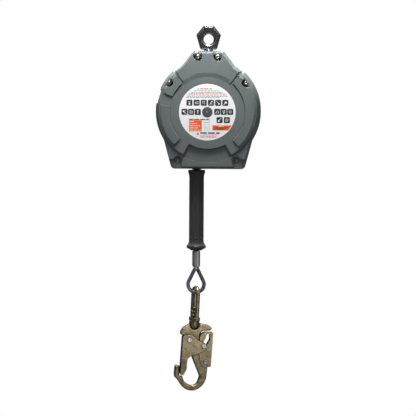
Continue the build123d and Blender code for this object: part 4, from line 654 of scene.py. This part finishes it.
def rope_mesh(name, points, materials):
    """Six strands laid round a core along a line of points in millimetres, 1 mm or so apart."""
    line = [Vector(p) for p in points]
    core = ROPE_R / 3
    helix = ROPE_R - core
    verts = []
    faces = []
    side = Vector((0, 1, 0))
    travelled = [0.0]
    for first, second in zip(line, line[1:]):
        travelled.append(travelled[-1] + (second - first).length)
    for strand in range(STRANDS + 1):
        start = len(verts)
        for n, spot in enumerate(line):
            along = (line[min(n + 1, len(line) - 1)] - line[max(n - 1, 0)]).normalized()
            across = along.cross(side).normalized()
            turn = 2 * math.pi * (travelled[n] / LAY + strand / STRANDS)
            out = across * math.cos(turn) + side * math.sin(turn)
            centre = spot + out * (helix if strand < STRANDS else 0.0)
            spin = along.cross(out)
            for corner in range(TUBE_SIDES):
                lean = 2 * math.pi * corner / TUBE_SIDES
                verts.append((centre + (out * math.cos(lean) + spin * math.sin(lean)) * core * 1.03) * MM)
        for n in range(len(line) - 1):
            for corner in range(TUBE_SIDES):
                a = start + n * TUBE_SIDES + corner
                b = start + n * TUBE_SIDES + (corner + 1) % TUBE_SIDES
                faces.append((a, b, b + TUBE_SIDES, a + TUBE_SIDES))
        faces.append(tuple(reversed(range(start, start + TUBE_SIDES))))
        last = start + (len(line) - 1) * TUBE_SIDES
        faces.append(tuple(range(last, last + TUBE_SIDES)))
    mesh = bpy.data.meshes.new(name)
    mesh.from_pydata(verts, [], faces)
    mesh.polygons.foreach_set("use_smooth", [True] * len(mesh.polygons))
    mesh.materials.append(materials["rope_steel"])
    piece = bpy.data.objects.new(name, mesh)
    bpy.context.scene.collection.objects.link(piece)
    return piece


def make_ropes(materials):
    step = (FERRULE_TOP - RUN_TOP) / RUN_STEPS
    straight = [(LINE_X, 0, RUN_TOP + step * n) for n in range(RUN_STEPS + 1)]
    run = rope_mesh("rope_run_strands", straight, materials)
    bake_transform(run)
    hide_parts("rope_run")

    cosine, sine = math.cos(LOOP_HALF_ANGLE), math.sin(LOOP_HALF_ANGLE)
    touch = (LOOP_ROPE_R * cosine, LOOP_Z + LOOP_ROPE_R * sine)
    top = FERRULE_BOTTOM + 2.5
    top_x = (LOOP_ROPE_R - (top - LOOP_Z) * sine) / cosine
    leg = []
    for n in range(LEG_STEPS):
        share = n / LEG_STEPS
        leg.append((top_x + (touch[0] - top_x) * share, top + (touch[1] - top) * share))
    arc = []
    for n in range(ARC_STEPS + 1):
        angle = LOOP_HALF_ANGLE - (math.pi + 2 * LOOP_HALF_ANGLE) * n / ARC_STEPS
        arc.append((LOOP_ROPE_R * math.cos(angle), LOOP_Z + LOOP_ROPE_R * math.sin(angle)))
    loop = leg + arc + [(-x, z) for x, z in reversed(leg)]
    eye = rope_mesh("rope_eye_strands", [(LINE_X + x, 0, z) for x, z in loop], materials)
    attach(eye, "line_end")
    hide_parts("rope_eye")


# ---- raised forging marks on the hook ----------------------------------------------------------------
def hook_point(u, v, w):
    """A point on the hook: u across, v up its swivel axis from the bow's crown, w towards the front."""
    cos_turn, sin_turn = math.cos(HOOK_TURN), math.sin(HOOK_TURN)
    cos_tilt, sin_tilt = math.cos(HOOK_TILT), math.sin(HOOK_TILT)
    across = Vector((cos_turn * cos_tilt, sin_turn, -cos_turn * sin_tilt))
    facing = Vector((sin_turn * cos_tilt, -cos_turn, -sin_turn * sin_tilt))
    upward = Vector((sin_tilt, 0, cos_tilt))
    return (Vector((LINE_X, 0, SWIVEL_Z)) + across * u + upward * v + facing * w) * MM


def make_marks(materials):
    """Plain raised bars where forgings carry their stamps."""
    arm = [bar(22.6 - 0.12 * n, -161.0 - 2.6 * n, 4.2 - 0.5 * (n % 3), 1.0, -8, 0.3) for n in range(7)]
    plates("hook_marks", arm, hook_point, HOOK_FACE - 0.1, 0.35, materials["hook_zinc"], "hook")
    leg = [bar(-17.6 - 0.06 * n, -116.0 - 3.1 * n, 2.4 + 0.4 * (n % 2), 1.2, 72, 0.3) for n in range(13)]
    plates("gate_marks", leg, hook_point, GATE_FACE - 0.1, 0.3, materials["hook_zinc"], "gate")


# ---- the scene ----------------------------------------------------------------------------------------
def main():
    scene = bpy.context.scene
    scene.view_settings.view_transform = "Standard"
    make_camera()
    make_world()
    make_floor()
    for lamp in SOFTBOXES:
        softbox(*lamp)
    materials = make_materials()
    for part in frame["record"]["subparts"]:
        piece = nodes[part["node"]]
        material = materials[part["material_slot"]]
        if not piece.material_slots:
            piece.data.materials.append(material)
        for material_slot in piece.material_slots:
            material_slot.material = material
    make_label(1, materials)
    make_label(-1, materials)
    make_ropes(materials)
    make_marks(materials)


main()
